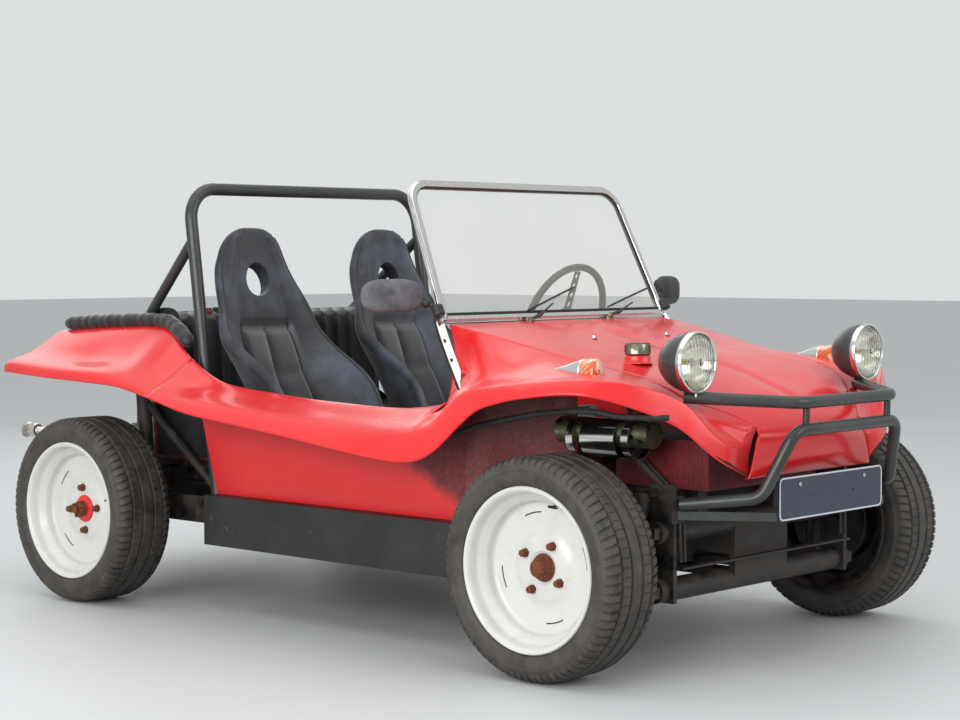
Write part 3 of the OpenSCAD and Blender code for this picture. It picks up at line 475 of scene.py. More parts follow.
# Moulded acrylic lamp lens with fine inner prisms at about 4 mm
def lampAcrylic(name, deep, light):
    made, tree, shader, place = newMaterial(name, {"IOR": 1.49, "Roughness": 0.15,
                                                   "Transmission Weight": 0.35, "Coat Weight": 0.5})
    prism = addNode(tree, "TexWave", {"Vector": place, "Scale": 1000 / 4 / 6.3},
                    bands_direction="DIAGONAL", give="Fac")
    tree.links.new(addNode(tree, "Mix", {0: prism, 6: linear(deep), 7: linear(light)}, give=2,
                           data_type="RGBA"), shader.inputs["Base Color"])
    tree.links.new(addNode(tree, "Bump", {"Height": prism, "Distance": 0.5 * mm, "Strength": 0.5}),
                   shader.inputs["Normal"])
    return made


# Screen-printed number plate blank: dark blue-grey face, satin
def plateEnamel(name, base, other):
    made, tree, shader, place = newMaterial(name, {"IOR": 1.5, "Roughness": 0.35})
    film = addNode(tree, "TexNoise", place, None, 1000 / 70, 4, 0.55)
    tree.links.new(addNode(tree, "Mix", {0: addNode(tree, "MapRange", film, 0.35, 0.7),
                                         6: linear(base), 7: linear(other)}, give=2,
                                         data_type="RGBA"),
                   shader.inputs["Base Color"])
    return made


# Studio floor paint, plain and pale
def floorPaint():
    made, tree, shader, place = newMaterial("floorPaint", {"Roughness": 0.55})
    tree.links.new(addNode(tree, "Mix", {0: addNode(tree, "TexNoise", place, None, 1000 / 900, 2,
                                                    0.55), 6: linear("#C3C5C6"),
                                                    7: linear("#BBBDBE")}, give=2,
                                                    data_type="RGBA"),
                   shader.inputs["Base Color"])
    return made


finish = {
    "red": redGelcoat(), "laminate": roughLaminate(), "under": underseal(), "tub": tubSide(),
    "sill": satinPaint("sillPaint", "#0F0F0F", "#262626", 0.7, 0.5),
    "tube": satinPaint("tubePaint", "#222524", "#383C3A", 0.8, 0.3),
    "chassis": dirtyChassis(), "alloy": castAlloy(),
    "frameMetal": wornPlating("frameMetal", 0.6, "#A8A292", "#8A7A66", "#CFCFCC"),
    "chrome": wornPlating("chrome", 0.62, "#A7A49C"),
    "dullMetal": wornPlating("dullMetal", 0.4, "#6E6C58", "#4C4634", "#8F8E7E"),
    "pipe": wornPlating("pipeSteel", 0.45, "#9A948B", "#5E4A3A", "#C9C6C0"),
    "enamel": whiteEnamel(), "rust": rustySteel(), "tyre": tyreRubber(),
    "vinyl": seatVinyl("seatVinyl", "#1B1D22", "#4A505E"),
    "trimVinyl": seatVinyl("trimVinyl", "#0E0F11", "#1D1F22"), "cloth": brushedCloth(),
    "plastic": mouldedPlastic(),
    "greyPlastic": mouldedPlastic("greyPlastic", "#3C3D42", "#6A6B70", 0.7),
    "seal": sealRubber(), "glass": floatGlass(), "fluted": flutedGlass(), "bowl": silveredBowl(),
    "amber": lampAcrylic("amberAcrylic", "#D05A08", "#E87E18"),
    "redLens": lampAcrylic("redAcrylic", "#7E0A0A", "#C41818"),
    "silverGlass": silverGlass(), "bulbGlass": bulbGlass(),
    "plate": plateEnamel("plateFace", "#2A3140", "#323A4A"),
    "plateRim": plateEnamel("plateBorder", "#C9CCD2", "#B9BDC4"),
}
print("materials made:", len(finish))


# mesh tools: a Shape gathers sheets of faces, each with its own material
class Shape:
    def __init__(self):
        self.points, self.faces, self.paint = [], [], []

    def add(self, sheet, paint=0):
        points, faces = sheet
        first = len(self.points)
        self.points += [Vector(p) for p in points]
        self.faces += [tuple(i + first for i in f) for f in faces]
        self.paint += [paint] * len(faces)
        return self

    def mirrored(self):
        other = Shape()
        other.points = [Vector((-p.x, p.y, p.z)) for p in self.points]
        other.faces = [tuple(reversed(f)) for f in self.faces]
        other.paint = list(self.paint)
        return other

    def join(self, other):
        first = len(self.points)
        self.points += other.points
        self.faces += [tuple(i + first for i in f) for f in other.faces]
        self.paint += other.paint
        return self

    def make(self, name, body, paints, slot, replaces=(), sharp=35, bevel=0, weld=0):
        mesh = bpy.data.meshes.new(name)
        mesh.from_pydata(self.points, [], self.faces)
        for paint in paints:
            mesh.materials.append(finish[paint])
        mesh.polygons.foreach_set("material_index", self.paint)
        if weld:
            work = bmesh.new()
            work.from_mesh(mesh)
            bmesh.ops.remove_doubles(work, verts=work.verts, dist=weld)
            work.to_mesh(mesh)
            work.free()
        mesh.shade_smooth()
        mesh.set_sharp_from_angle(angle=math.radians(sharp))
        piece = bpy.data.objects.new(name, mesh)
        scene.collection.objects.link(piece)
        if bevel:
            edge = piece.modifiers.new("edge", "BEVEL")
            edge.width, edge.segments, edge.limit_method = bevel * mm, 2, "ANGLE"
            edge.angle_limit = math.radians(40)
        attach(piece, body)
        if replaces:
            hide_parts(*replaces)
        return piece


def gridSheet(rows, closeAcross=False, closeAlong=False, capEnds=False):
    n, m = len(rows), len(rows[0])
    points = [p for row in rows for p in row]
    faces = []
    for i in range(n if closeAlong else n - 1):
        for j in range(m if closeAcross else m - 1):
            k, l = (i + 1) % n, (j + 1) % m
            faces.append((i * m + j, i * m + l, k * m + l, k * m + j))
    if capEnds:
        faces.append(tuple(reversed(range(m))))
        faces.append(tuple((n - 1) * m + j for j in range(m)))
    return points, faces


def smoothPath(points, steps=6):
    points = [Vector(p) for p in points]
    out = []
    for i in range(len(points) - 1):
        a, b = points[i], points[i + 1]
        ta = (points[min(i + 1, len(points) - 1)] - points[max(i - 1, 0)]) / 2
        tb = (points[min(i + 2, len(points) - 1)] - points[i]) / 2
        for k in range(steps):
            t = k / steps
            out.append((2 * t ** 3 - 3 * t * t + 1) * a + (t ** 3 - 2 * t * t + t) * ta
                       + (3 * t * t - 2 * t ** 3) * b + (t ** 3 - t * t) * tb)
    return out + [points[-1]]


# tube or bar swept along points; radius is a number, a pair for a flat bar, or one value per point
def sweep(path, radius, sides=16, loop=False, up=None, cap=True):
    path = [Vector(p) for p in path]
    rows, n = [], len(path)
    side = None
    for i, p in enumerate(path):
        ahead = path[(i + 1) % n] if loop else path[min(i + 1, n - 1)]
        behind = path[i - 1] if (loop or i > 0) else path[0]
        line = (ahead - behind).normalized()
        if side is None or up is not None:
            level = Vector((0, 0, 1)) if abs(line.z) < 0.9 else Vector((0, 1, 0))
            guide = Vector(up) if up else level
            side = line.cross(guide).normalized()
        else:
            side = (side - line * side.dot(line)).normalized()
        other = side.cross(line)
        r = radius[i] if isinstance(radius, list) else radius
        wide, high = r if isinstance(r, tuple) else (r, r)
        rows.append([p + side * wide * math.cos(2 * math.pi * k / sides)
                     + other * high * math.sin(2 * math.pi * k / sides) for k in range(sides)])
    return gridSheet(rows, True, loop, cap and not loop)


def spun(profile, centre, axis, steps=48, start=0.0, span=2 * math.pi):
    # profile: (distance along the axis, radius) pairs, turned round the axis
    axis = Vector(axis).normalized()
    guide = Vector((0, 0, 1)) if abs(axis.z) < 0.9 else Vector((0, 1, 0))
    u = axis.cross(guide).normalized()
    v = axis.cross(u)
    full = abs(span - 2 * math.pi) < 1e-6
    rows = []
    for k in range(steps if full else steps + 1):
        a = start + span * k / steps
        out = u * math.cos(a) + v * math.sin(a)
        rows.append([Vector(centre) + axis * s + out * r for s, r in profile])
    return gridSheet(rows, False, full)


def slab(low, high, turn=None):
    points = [Vector((x, y, z)) for x in (low[0], high[0]) for y in (low[1], high[1])
              for z in (low[2], high[2])]
    if turn:
        centre = (Vector(low) + Vector(high)) / 2
        points = [centre + turn @ (p - centre) for p in points]
    return points, [(0, 1, 3, 2), (4, 6, 7, 5), (0, 4, 5, 1), (2, 3, 7, 6), (0, 2, 6, 4),
                    (1, 5, 7, 3)]


def boltHead(place, axis, size=0.008, tall=0.005):
    return spun([(0, 0.0), (0, size), (tall, size), (tall, size * 0.75), (tall * 1.6, size * 0.6),
                 (tall * 1.6, 0.0)], place, axis, 6)


def ringSpin(along, radius, thick, centre, axis, steps=48, sides=10):
    return spun([(along + thick * math.cos(2 * math.pi * k / sides),
                  radius + thick * math.sin(2 * math.pi * k / sides)) for k in range(sides + 1)],
                centre, axis, steps)


def recolour(name, *paints):
    data = cad[name].data
    while len(data.materials) < len(paints):
        data.materials.append(None)
    for i, paint in enumerate(paints):
        data.materials[i] = finish[paint]


def cleanFaces(piece):
    # drops points that no face uses and turns every face outward
    work = bmesh.new()
    work.from_mesh(piece.data)
    loose = [v for v in work.verts if not v.link_faces]
    bmesh.ops.delete(work, geom=loose, context="VERTS")
    bmesh.ops.recalc_face_normals(work, faces=work.faces)
    work.to_mesh(piece.data)
    work.free()


# body shells: the same lines as the moulded body, in mm behind the front axle: [d, x, z]
bodyLines = {
    "bonnetEdge": [[-330, 235, 620], [-300, 270, 642], [-262, 310, 664], [-210, 365, 688],
                   [-158, 400, 722], [-100, 415, 746], [0, 425, 766], [100, 440, 784],
                   [250, 455, 816], [400, 468, 848], [512, 472.5, 868]],
    "shoulder": [[-330, 255, 598], [-300, 315, 630], [-262, 375, 656], [-210, 450, 692],
                 [-158, 520, 730], [-100, 545, 750], [0, 556, 761], [100, 552, 768],
                 [190, 535, 776], [320, 508, 800], [400, 489, 818], [484, 486, 796]],
    "haunch": [[-330, 265, 574], [-300, 340, 612], [-262, 420, 664], [-210, 510, 710],
               [-160, 570, 735], [-100, 616, 748], [60, 634, 748], [190, 620, 738],
               [300, 604, 722], [360, 590, 704], [400, 578, 684], [428, 570, 668]],
    "crease": [[-330, 275, 545], [-317, 370, 584], [-262, 459, 687], [-190, 578, 735],
               [-100, 660, 746], [50, 700, 733], [193, 702, 714], [262, 702, 697], [300, 702, 672],
               [361, 702, 620], [425, 700, 597], [520, 690, 586], [700, 680, 588], [1100, 682, 616],
               [1400, 692, 640], [1600, 700, 682], [1750, 702, 704], [2000, 702, 712],
               [2200, 700, 722]],
    "lip": [[-330, 275, 500], [-317, 385, 548], [-262, 480, 634], [-190, 598, 690],
            [-100, 680, 716], [50, 718, 703], [125, 720, 688], [190, 720, 668], [247, 720, 630],
            [300, 720, 586], [350, 720, 550], [410, 718, 526], [480, 716, 519], [560, 715, 522],
            [700, 716, 536], [930, 718, 563], [1130, 720, 583], [1335, 720, 606], [1496, 720, 641],
            [1640, 720, 669], [1807, 720, 677], [2000, 720, 684], [2200, 716, 694]],
    "rail": [[428, 570, 668], [470, 562, 656], [602, 560, 642], [872, 560, 646], [1103, 560, 659],
             [1316, 560, 677], [1410, 557, 702], [1524, 548, 757], [1600, 530, 802],
             [1690, 506, 829], [1900, 500, 828], [2200, 498, 813]],
    "waist": [[428, 646, 634], [470, 636, 624], [602, 618, 618], [872, 615, 624],
              [1103, 616, 640], [1316, 616, 655], [1410, 616, 668], [1524, 618, 706],
              [1640, 614, 738], [1746, 604, 741], [1905, 600, 742], [2080, 600, 755],
              [2200, 598, 757]],
    "middle": [[-330, 0, 640], [-268, 0, 686], [-190, 0, 718], [-108, 0, 746], [24, 0, 781],
               [160, 0, 806], [267, 0, 828], [400, 0, 857], [512, 0, 870.4]],
}
shell = {"thick": 4.5, "tail": 2215, "cowl": 512, "nose": -330, "across": 8}


def lineAt(name, d):
    rows = bodyLines[name]
    i = 0
    while i < len(rows) - 2 and d >= rows[i + 1][0]:
        i += 1
    a, b = rows[i], rows[i + 1]
    h = b[0] - a[0]
    t = min(1, max(0, (d - a[0]) / h))

    def slope(k, column):
        low, high = rows[max(k - 1, 0)], rows[min(k + 1, len(rows) - 1)]
        return (high[column] - low[column]) / (high[0] - low[0])

    x, z = [(2 * t ** 3 - 3 * t * t + 1) * a[c] + (t ** 3 - 2 * t * t + t) * h * slope(i, c)
            + (3 * t * t - 2 * t ** 3) * b[c] + (t ** 3 - t * t) * h * slope(i + 1, c)
            for c in (1, 2)]
    return Vector((x, d - 1000, z)) * mm


def heldBack(d, by):
    return d - by * max(0, min(1, (d - 380) / (shell["cowl"] - 380)))


def bonnetPoint(d, s):
    edge, middle = lineAt("bonnetEdge", d), lineAt("middle", d).z
    return Vector((s * edge.x, edge.y, middle + (edge.z - middle) * abs(s) ** 2.4))


def rolled(row):
    # the flange's edge turns under in a small bead
    end = row[-1]
    return row + [end + Vector(p) * mm for p in ((-0.5, 0, -3.5), (-4, 0, -6), (-9, 0, -5.5))]


def fenderRow(d):
    low = heldBack(d, 84)
    shoulder, haunch = lineAt("shoulder", heldBack(d, 28)), lineAt("haunch", low)
    crease, lip = lineAt("crease", low), lineAt("lip", low)
    # the waist grows out of the plain curve, so the fender meets the side in one line
    plain = (haunch + crease) / 2 + ((crease - shoulder) - (lip - haunch)) / 16
    share = max(0, min(1, (low - 300) / 128))
    share = share * share * (3 - 2 * share)
    middle = plain.lerp(lineAt("waist", max(428, low)), share)
    middle.y = low * mm - 1
    return rolled(smoothPath([lineAt("bonnetEdge", d), shoulder, haunch, middle, crease, lip],
                             shell["across"]))


def sideRow(d):
    rail = lineAt("rail", d)
    inner = [rail + Vector((-20, 0, -30)) * mm, rail + Vector((-14, 0, -9)) * mm]
    return rolled(smoothPath(inner + [rail, lineAt("waist", d), lineAt("crease", d),
                                      lineAt("lip", d)],
                             shell["across"]))


def steps(a, b, n):
    return [a + (b - a) * k / n for k in range(n + 1)]


def thickened(piece, thick, inside=None):
    wall = piece.modifiers.new("wall", "SOLIDIFY")
    wall.thickness, wall.offset, wall.use_even_offset = thick * mm, -1, True
    if inside is not None:
        wall.material_offset = inside
    return piece


def makeBody():
    fenders = Shape().add(gridSheet([fenderRow(d)
                                     for d in steps(shell["nose"], shell["cowl"], 90)]))
    fenders.add(gridSheet([sideRow(d) for d in steps(428, 1499.8, 90)]))
    fenders.join(fenders.mirrored())
    thickened(fenders.make("fendersAndSides", "chassis", ["red", "under"], "red_body",
                           ["front_fenders", "body_sides"], 70, weld=0.0012), shell["thick"], 1)
    rear = Shape().add(gridSheet([sideRow(d) for d in steps(1500, shell["tail"], 60)]))
    rear.join(rear.mirrored())
    thickened(rear.make("rearFenders", "chassis", ["red", "under"], "red_body", ["rear_body"], 70),
              shell["thick"], 1)


def makeBonnet():
    flute = {"half": 22, "deep": 5}
    nose = {"bottom": 496, "wide": 280, "bulge": 26}
    columns = steps(-1, 1, 60)
    rows = []
    front = shell["nose"] / 1000 - 1
    for s in columns:
        top = bonnetPoint(-318, s)
        edge = lineAt("bonnetEdge", -330).x
        low = Vector((s * nose["wide"] * mm, front - 0.006, nose["bottom"] * mm))
        bulge = nose["bulge"] * mm * (1 - s * s)
        down = [low + Vector((0, 0.012, -0.004)), low,
                Vector((s * (edge + 0.03), front - 0.008 - bulge * 0.8, 0.535)),
                Vector((s * (edge + 0.012), front - 0.006 - bulge, 0.585)),
                Vector((s * edge, front - 0.002 - bulge * 0.35, bonnetPoint(-330, s).z - 0.012)),
                top]
        back = [bonnetPoint(d, s) for d in steps(-300, shell["cowl"], 80)]
        for k, p in enumerate(back):
            grow = min(1, max(0, (len(back) - 8 - k) / 16))
            p.z -= flute["deep"] * mm * grow * math.exp(-(p.x / (flute["half"] * mm)) ** 2)
        rows.append(smoothPath(down, 5) + back)
    sheet = Shape().add(gridSheet([list(r) for r in zip(*rows)]))
    thickened(sheet.make("bonnetAndNose", "chassis", ["red", "laminate"], "red_body",
                         ["bonnet", "nose_panel"], 70), shell["thick"], 1)


def makeDeck():
    rows = []
    for d in steps(1842, shell["tail"], 24):
        rail = lineAt("rail", d)
        half = rail.x - 0.012
        rows.append([Vector((s * half, rail.y, rail.z - 0.010 + 0.012 * (1 - s * s)))
                     for s in steps(-1, 1, 24)])
    last = rows[-1]
    rows += [[p + Vector((0, 0.004, -drop)) for p in last] for drop in (0.01, 0.05, 0.1, 0.14)]
    deck = Shape().add(gridSheet(rows))
    for x in steps(-0.44, 0.44, 8):
        deck.add(spun([(0, 0.0), (0, 0.007), (0.003, 0.006), (0.0045, 0.0)],
                      (x, 0.875, 0.829), (0, 0, 1), 12), 1)
    thickened(deck.make("deckCover", "chassis", ["trimVinyl", "chrome"], "vinyl_black", [], 60), 3)


# wheels
wheel = {"rim": 190.5, "flange": 17, "edge": 750, "width": 185, "hub": 678, "studs": 4,
         "studCircle": 65,
         "axles": {"front": -1000, "rear": 850}, "high": 281, "tyreHalf": 97.5, "tyreMiddle": 657.5,
         "turns": {"wheel_front_right": -0.26, "wheel_front_left": 1.1, "wheel_rear_right": 0.7,
                   "wheel_rear_left": 0.2}}


def wheelShape(front):
    r = wheel["rim"] * mm
    f = r + wheel["flange"] * mm
    outer, hub = wheel["edge"] * mm, wheel["hub"] * mm
    inner = outer - wheel["width"] * mm
    made = Shape()
    lip = [(outer - 0.010, f - 0.001), (outer - 0.004, f + 0.0005), (outer - 0.0005, f - 0.002),
           (outer, f - 0.006), (outer - 0.003, f - 0.011), (outer - 0.008, r + 0.003),
           (outer - 0.014, r), (outer - 0.026, r - 0.001), (outer - 0.034, r - 0.006),
           (outer - 0.044, r - 0.02), (outer - 0.052, r - 0.023), (outer - 0.062, r - 0.0235),
           (outer - 0.068, r - 0.026), (outer - 0.0715, r - 0.032), (hub, r - 0.044),
           (hub - 0.001, r - 0.060), (hub - 0.004, r - 0.078), (hub - 0.006, r - 0.094),
           (hub + 0.001, r - 0.106), (hub + 0.004, r - 0.112), (hub + 0.004, r - 0.148),
           (hub + 0.001, 0.039), (hub, 0.036)]
    count = 144
    made.add(spun(lip, (0, 0, 0), (1, 0, 0), count))
    # the inner barrel takes the dark dirty chassis finish: road dirt, and painted shade inside the
    # wheel
    back = [(hub - 0.010, 0.036), (hub - 0.010, r - 0.05), (outer - 0.080, r - 0.036),
            (outer - 0.074, r - 0.031), (inner + 0.045, r - 0.031), (inner + 0.03, r - 0.01),
            (inner + 0.012, r - 0.003), (inner + 0.004, r + 0.004), (inner, f - 0.004),
            (inner + 0.003, f), (inner + 0.008, f - 0.003)]
    made.add(spun(back, (0, 0, 0), (1, 0, 0), count), 4)
    for k in range(wheel["studs"]):
        a = math.pi / 4 + k * math.pi / 2
        at = Vector((0, wheel["studCircle"] * mm * math.cos(a),
                     wheel["studCircle"] * mm * math.sin(a)))
        made.add(spun([(hub + 0.001, 0.017), (hub + 0.005, 0.016), (hub + 0.0055, 0.013)], at,
                      (1, 0, 0), 24))
        made.add(spun([(hub + 0.002, 0.0125), (hub + 0.012, 0.011), (hub + 0.013, 0.0095),
                       (hub + 0.021, 0.0095), (hub + 0.023, 0.007), (hub + 0.023, 0)], at,
                       (1, 0, 0), 6), 1)
    # ventilation slots drawn as dark rubber arcs just inside the well: painted shade standing in
    # for the openings
    for k in range(4):
        a0 = 2 * math.pi * (k + 0.5) / 4 + math.pi / 4
        arc = [Vector((hub - 0.0019, (r - 0.052) * math.cos(a0 + t),
                       (r - 0.052) * math.sin(a0 + t)))
               for t in steps(-0.2, 0.2, 10)]
        made.add(sweep(arc, (0.0022, 0.0026), 8, up=(1, 0, 0)), 2)
    if front:
        made.add(spun([(hub, 0.036), (hub + 0.005, 0.034), (hub + 0.010, 0.028),
                       (hub + 0.020, 0.025),
                       (hub + 0.028, 0.022), (hub + 0.033, 0.015), (hub + 0.0345, 0.007),
                       (hub + 0.035, 0)], (0, 0, 0), (1, 0, 0), 48), 1)
        made.add(ringSpin(hub + 0.010, 0.029, 0.002, (0, 0, 0), (1, 0, 0)), 1)
    else:
        made.add(spun([(hub, 0.042), (hub + 0.008, 0.040), (hub + 0.012, 0.033), (hub + 0.012, 0)],
                      (0, 0, 0), (1, 0, 0), 48), 3)
        made.add(spun([(hub + 0.012, 0.026), (hub + 0.030, 0.026), (hub + 0.033, 0.022),
                       (hub + 0.033, 0)],
                      (0, 0, 0), (1, 0, 0), 6), 1)
        made.add(spun([(hub + 0.033, 0.012), (hub + 0.044, 0.012), (hub + 0.046, 0.009),
                       (hub + 0.046, 0)],
                      (0, 0, 0), (1, 0, 0), 20), 1)
        for k in range(6):
            a = k * math.pi / 3
            made.add(slab((hub + 0.030, 0.020 * math.cos(a) - 0.003, 0.020 * math.sin(a) - 0.003),
                          (hub + 0.038, 0.020 * math.cos(a) + 0.003, 0.020 * math.sin(a) + 0.003)),
                          1)
    # valve
    valve = Vector((outer - 0.047, (r - 0.021) * math.cos(2.2), (r - 0.021) * math.sin(2.2)))
    made.add(sweep([valve, valve + Vector((0.012, 0, 0)), valve + Vector((0.03, -0.002, 0.003))],
                   [0.006, 0.004, 0.0035], 10), 2)
    # brake drum with its cooling rim
    made.add(spun([(hub - 0.006, 0.04), (hub - 0.006, 0.118), (hub - 0.012, 0.1225),
                   (hub - 0.068, 0.1225),
                   (hub - 0.070, 0.119), (hub - 0.070, 0.100)], (0, 0, 0), (1, 0, 0), 72), 4)
    return made


def tyreShape():
    r, half, middle = wheel["rim"] * mm, wheel["tyreHalf"] * mm, wheel["tyreMiddle"] * mm
    top = wheel["high"] * mm
    flange = r + wheel["flange"] * mm
    # half section from the bead out to the crown: (across from the middle, radius)
    side = [(half - 0.020, r + 0.0025), (half - 0.013, r + 0.004), (half - 0.0105, flange - 0.004),
            (half - 0.011, flange + 0.002), (half - 0.007, flange + 0.0045),
            (half - 0.004, flange + 0.010),
            (half - 0.0015, flange + 0.018), (half, top - 0.042), (half - 0.0006, top - 0.036),
            (half + 0.0004, top - 0.0345), (half - 0.001, top - 0.032), (half - 0.003, top - 0.024),
            (half - 0.0055, top - 0.018), (half - 0.0055, top - 0.0165),
            (half - 0.0085, top - 0.0125),
            (half - 0.013, top - 0.008), (half - 0.019, top - 0.0048), (half - 0.026, top - 0.0028)]
    tread = []
    grooves = (0.056, 0.0205)
    groove, depth = 0.0042, 0.0075
    x = half - 0.032
    while x > 0.0005:
        crown = top - 0.0022 * (x / half) ** 2
        near = [g for g in grooves if abs(g - x) < groove]
        tread.append((x, crown - (depth if near else 0)))
        x -= 0.0028
    profile, marks = [], []
    for sign, cells in ((1, side + tread), (-1, list(reversed(side + tread)))):
        for a, b in cells:
            profile.append((middle + sign * a, b))
            marks.append((sign * a, b))
    pitches, cells = 76, ((0.0, 0), (0.16, 1), (0.30, 1), (0.34, 0), (0.66, 0), (0.70, 2),
                          (0.80, 2), (0.84, 0))
    rows = []
    for k in range(pitches):
        for share, cut in cells:
            a0 = 2 * math.pi * (k + share) / pitches
            row = []
            for (x, radius), (across, _) in zip(profile, marks):
                out = abs(across)
                lag = 0.35 * (2 * math.pi / pitches) * max(0, out - 0.056) / 0.04
                drop = 0
                if cut == 1 and 0.0625 < out < half - 0.004 and radius > top - 0.020:
                    drop = 0.005
                if cut == 2 and 0.028 < out < 0.050:
                    drop = 0.0022
                a = a0 + (lag if across > 0 else -lag)
                row.append(Vector((x, (radius - drop) * math.cos(a),
                                   (radius - drop) * math.sin(a))))
            rows.append(row)
    return Shape().add(gridSheet(rows, False, True))


def makeWheels():
    tyre = tyreShape()
    for end, y in wheel["axles"].items():
        plain = wheelShape(end == "front")
        for side in ("right", "left"):
            body = f"wheel_{end}_{side}"
            for what, source, paints, slot, sharp in (
                    ("rim", plain, ["enamel", "rust", "seal", "red", "chassis"], "wheel_white", 40),
                    ("tyre", tyre, ["tyre"], "tyre_black", 32)):
                one = source if side == "left" else source.mirrored()
                moved = Shape().join(one)
                turn = Matrix.Rotation(wheel["turns"][body], 3,
                                       "X") if what == "rim" else Matrix.Identity(3)
                moved.points = [turn @ p + Vector((0, y, wheel["high"])) * mm for p in one.points]
                moved.make(f"{what}Visual.{end}.{side}", body, paints, slot,
                           [f"{what}_{end}_{side}"], sharp)
    print("wheels made")


# windshield: x across, height along the glass, out in front of it
shield = {"foot": 484, "top": 450, "tall": 408, "lean": 24.2, "base": (-475, 881), "corner": 70,
          "inset": 11, "feet": [(0.489, -0.462, 0.886), (0.496, -0.474, 0.862),
                                (0.512, -0.516, 0.803), (0.538, -0.570, 0.747),
                                (0.568, -0.624, 0.701)]}


def onGlass(x, up, out=0.0):
    lean = math.radians(shield["lean"])
    y, z = shield["base"]
    return Vector((x, y + up * math.sin(lean) - out * math.cos(lean),
                   z + up * math.cos(lean) + out * math.sin(lean))) * mm


def shieldEdge(up):
    return shield["foot"] - (shield["foot"] - shield["top"]) * up / shield["tall"]


def shieldOutline(inset, low, cornerSteps=10):
    # right-hand half from the bottom up to the middle of the top, corners rounded
    r = shield["corner"] - inset
    high = shield["tall"] - inset
    out = [(shieldEdge(up) - inset, up) for up in steps(low, high - r, 8)]
    cx, cy = out[-1][0] - r, high - r
    out += [(cx + r * math.cos(a), cy + r * math.sin(a))
            for a in steps(0.15, math.pi / 2, cornerSteps)]
    return out


def sweepSection(path, section, up, loop=False):
    # section: (across, out) pairs; out runs along the fixed direction up
    rows, n = [], len(path)
    for i, p in enumerate(path):
        ahead = path[(i + 1) % n] if loop else path[min(i + 1, n - 1)]
        behind = path[i - 1] if (loop or i > 0) else path[0]
        line = (ahead - behind).normalized()
        side = line.cross(up).normalized()
        rows.append([p + side * a * mm + up * b * mm for a, b in section])
    return gridSheet(rows, True, loop, not loop)


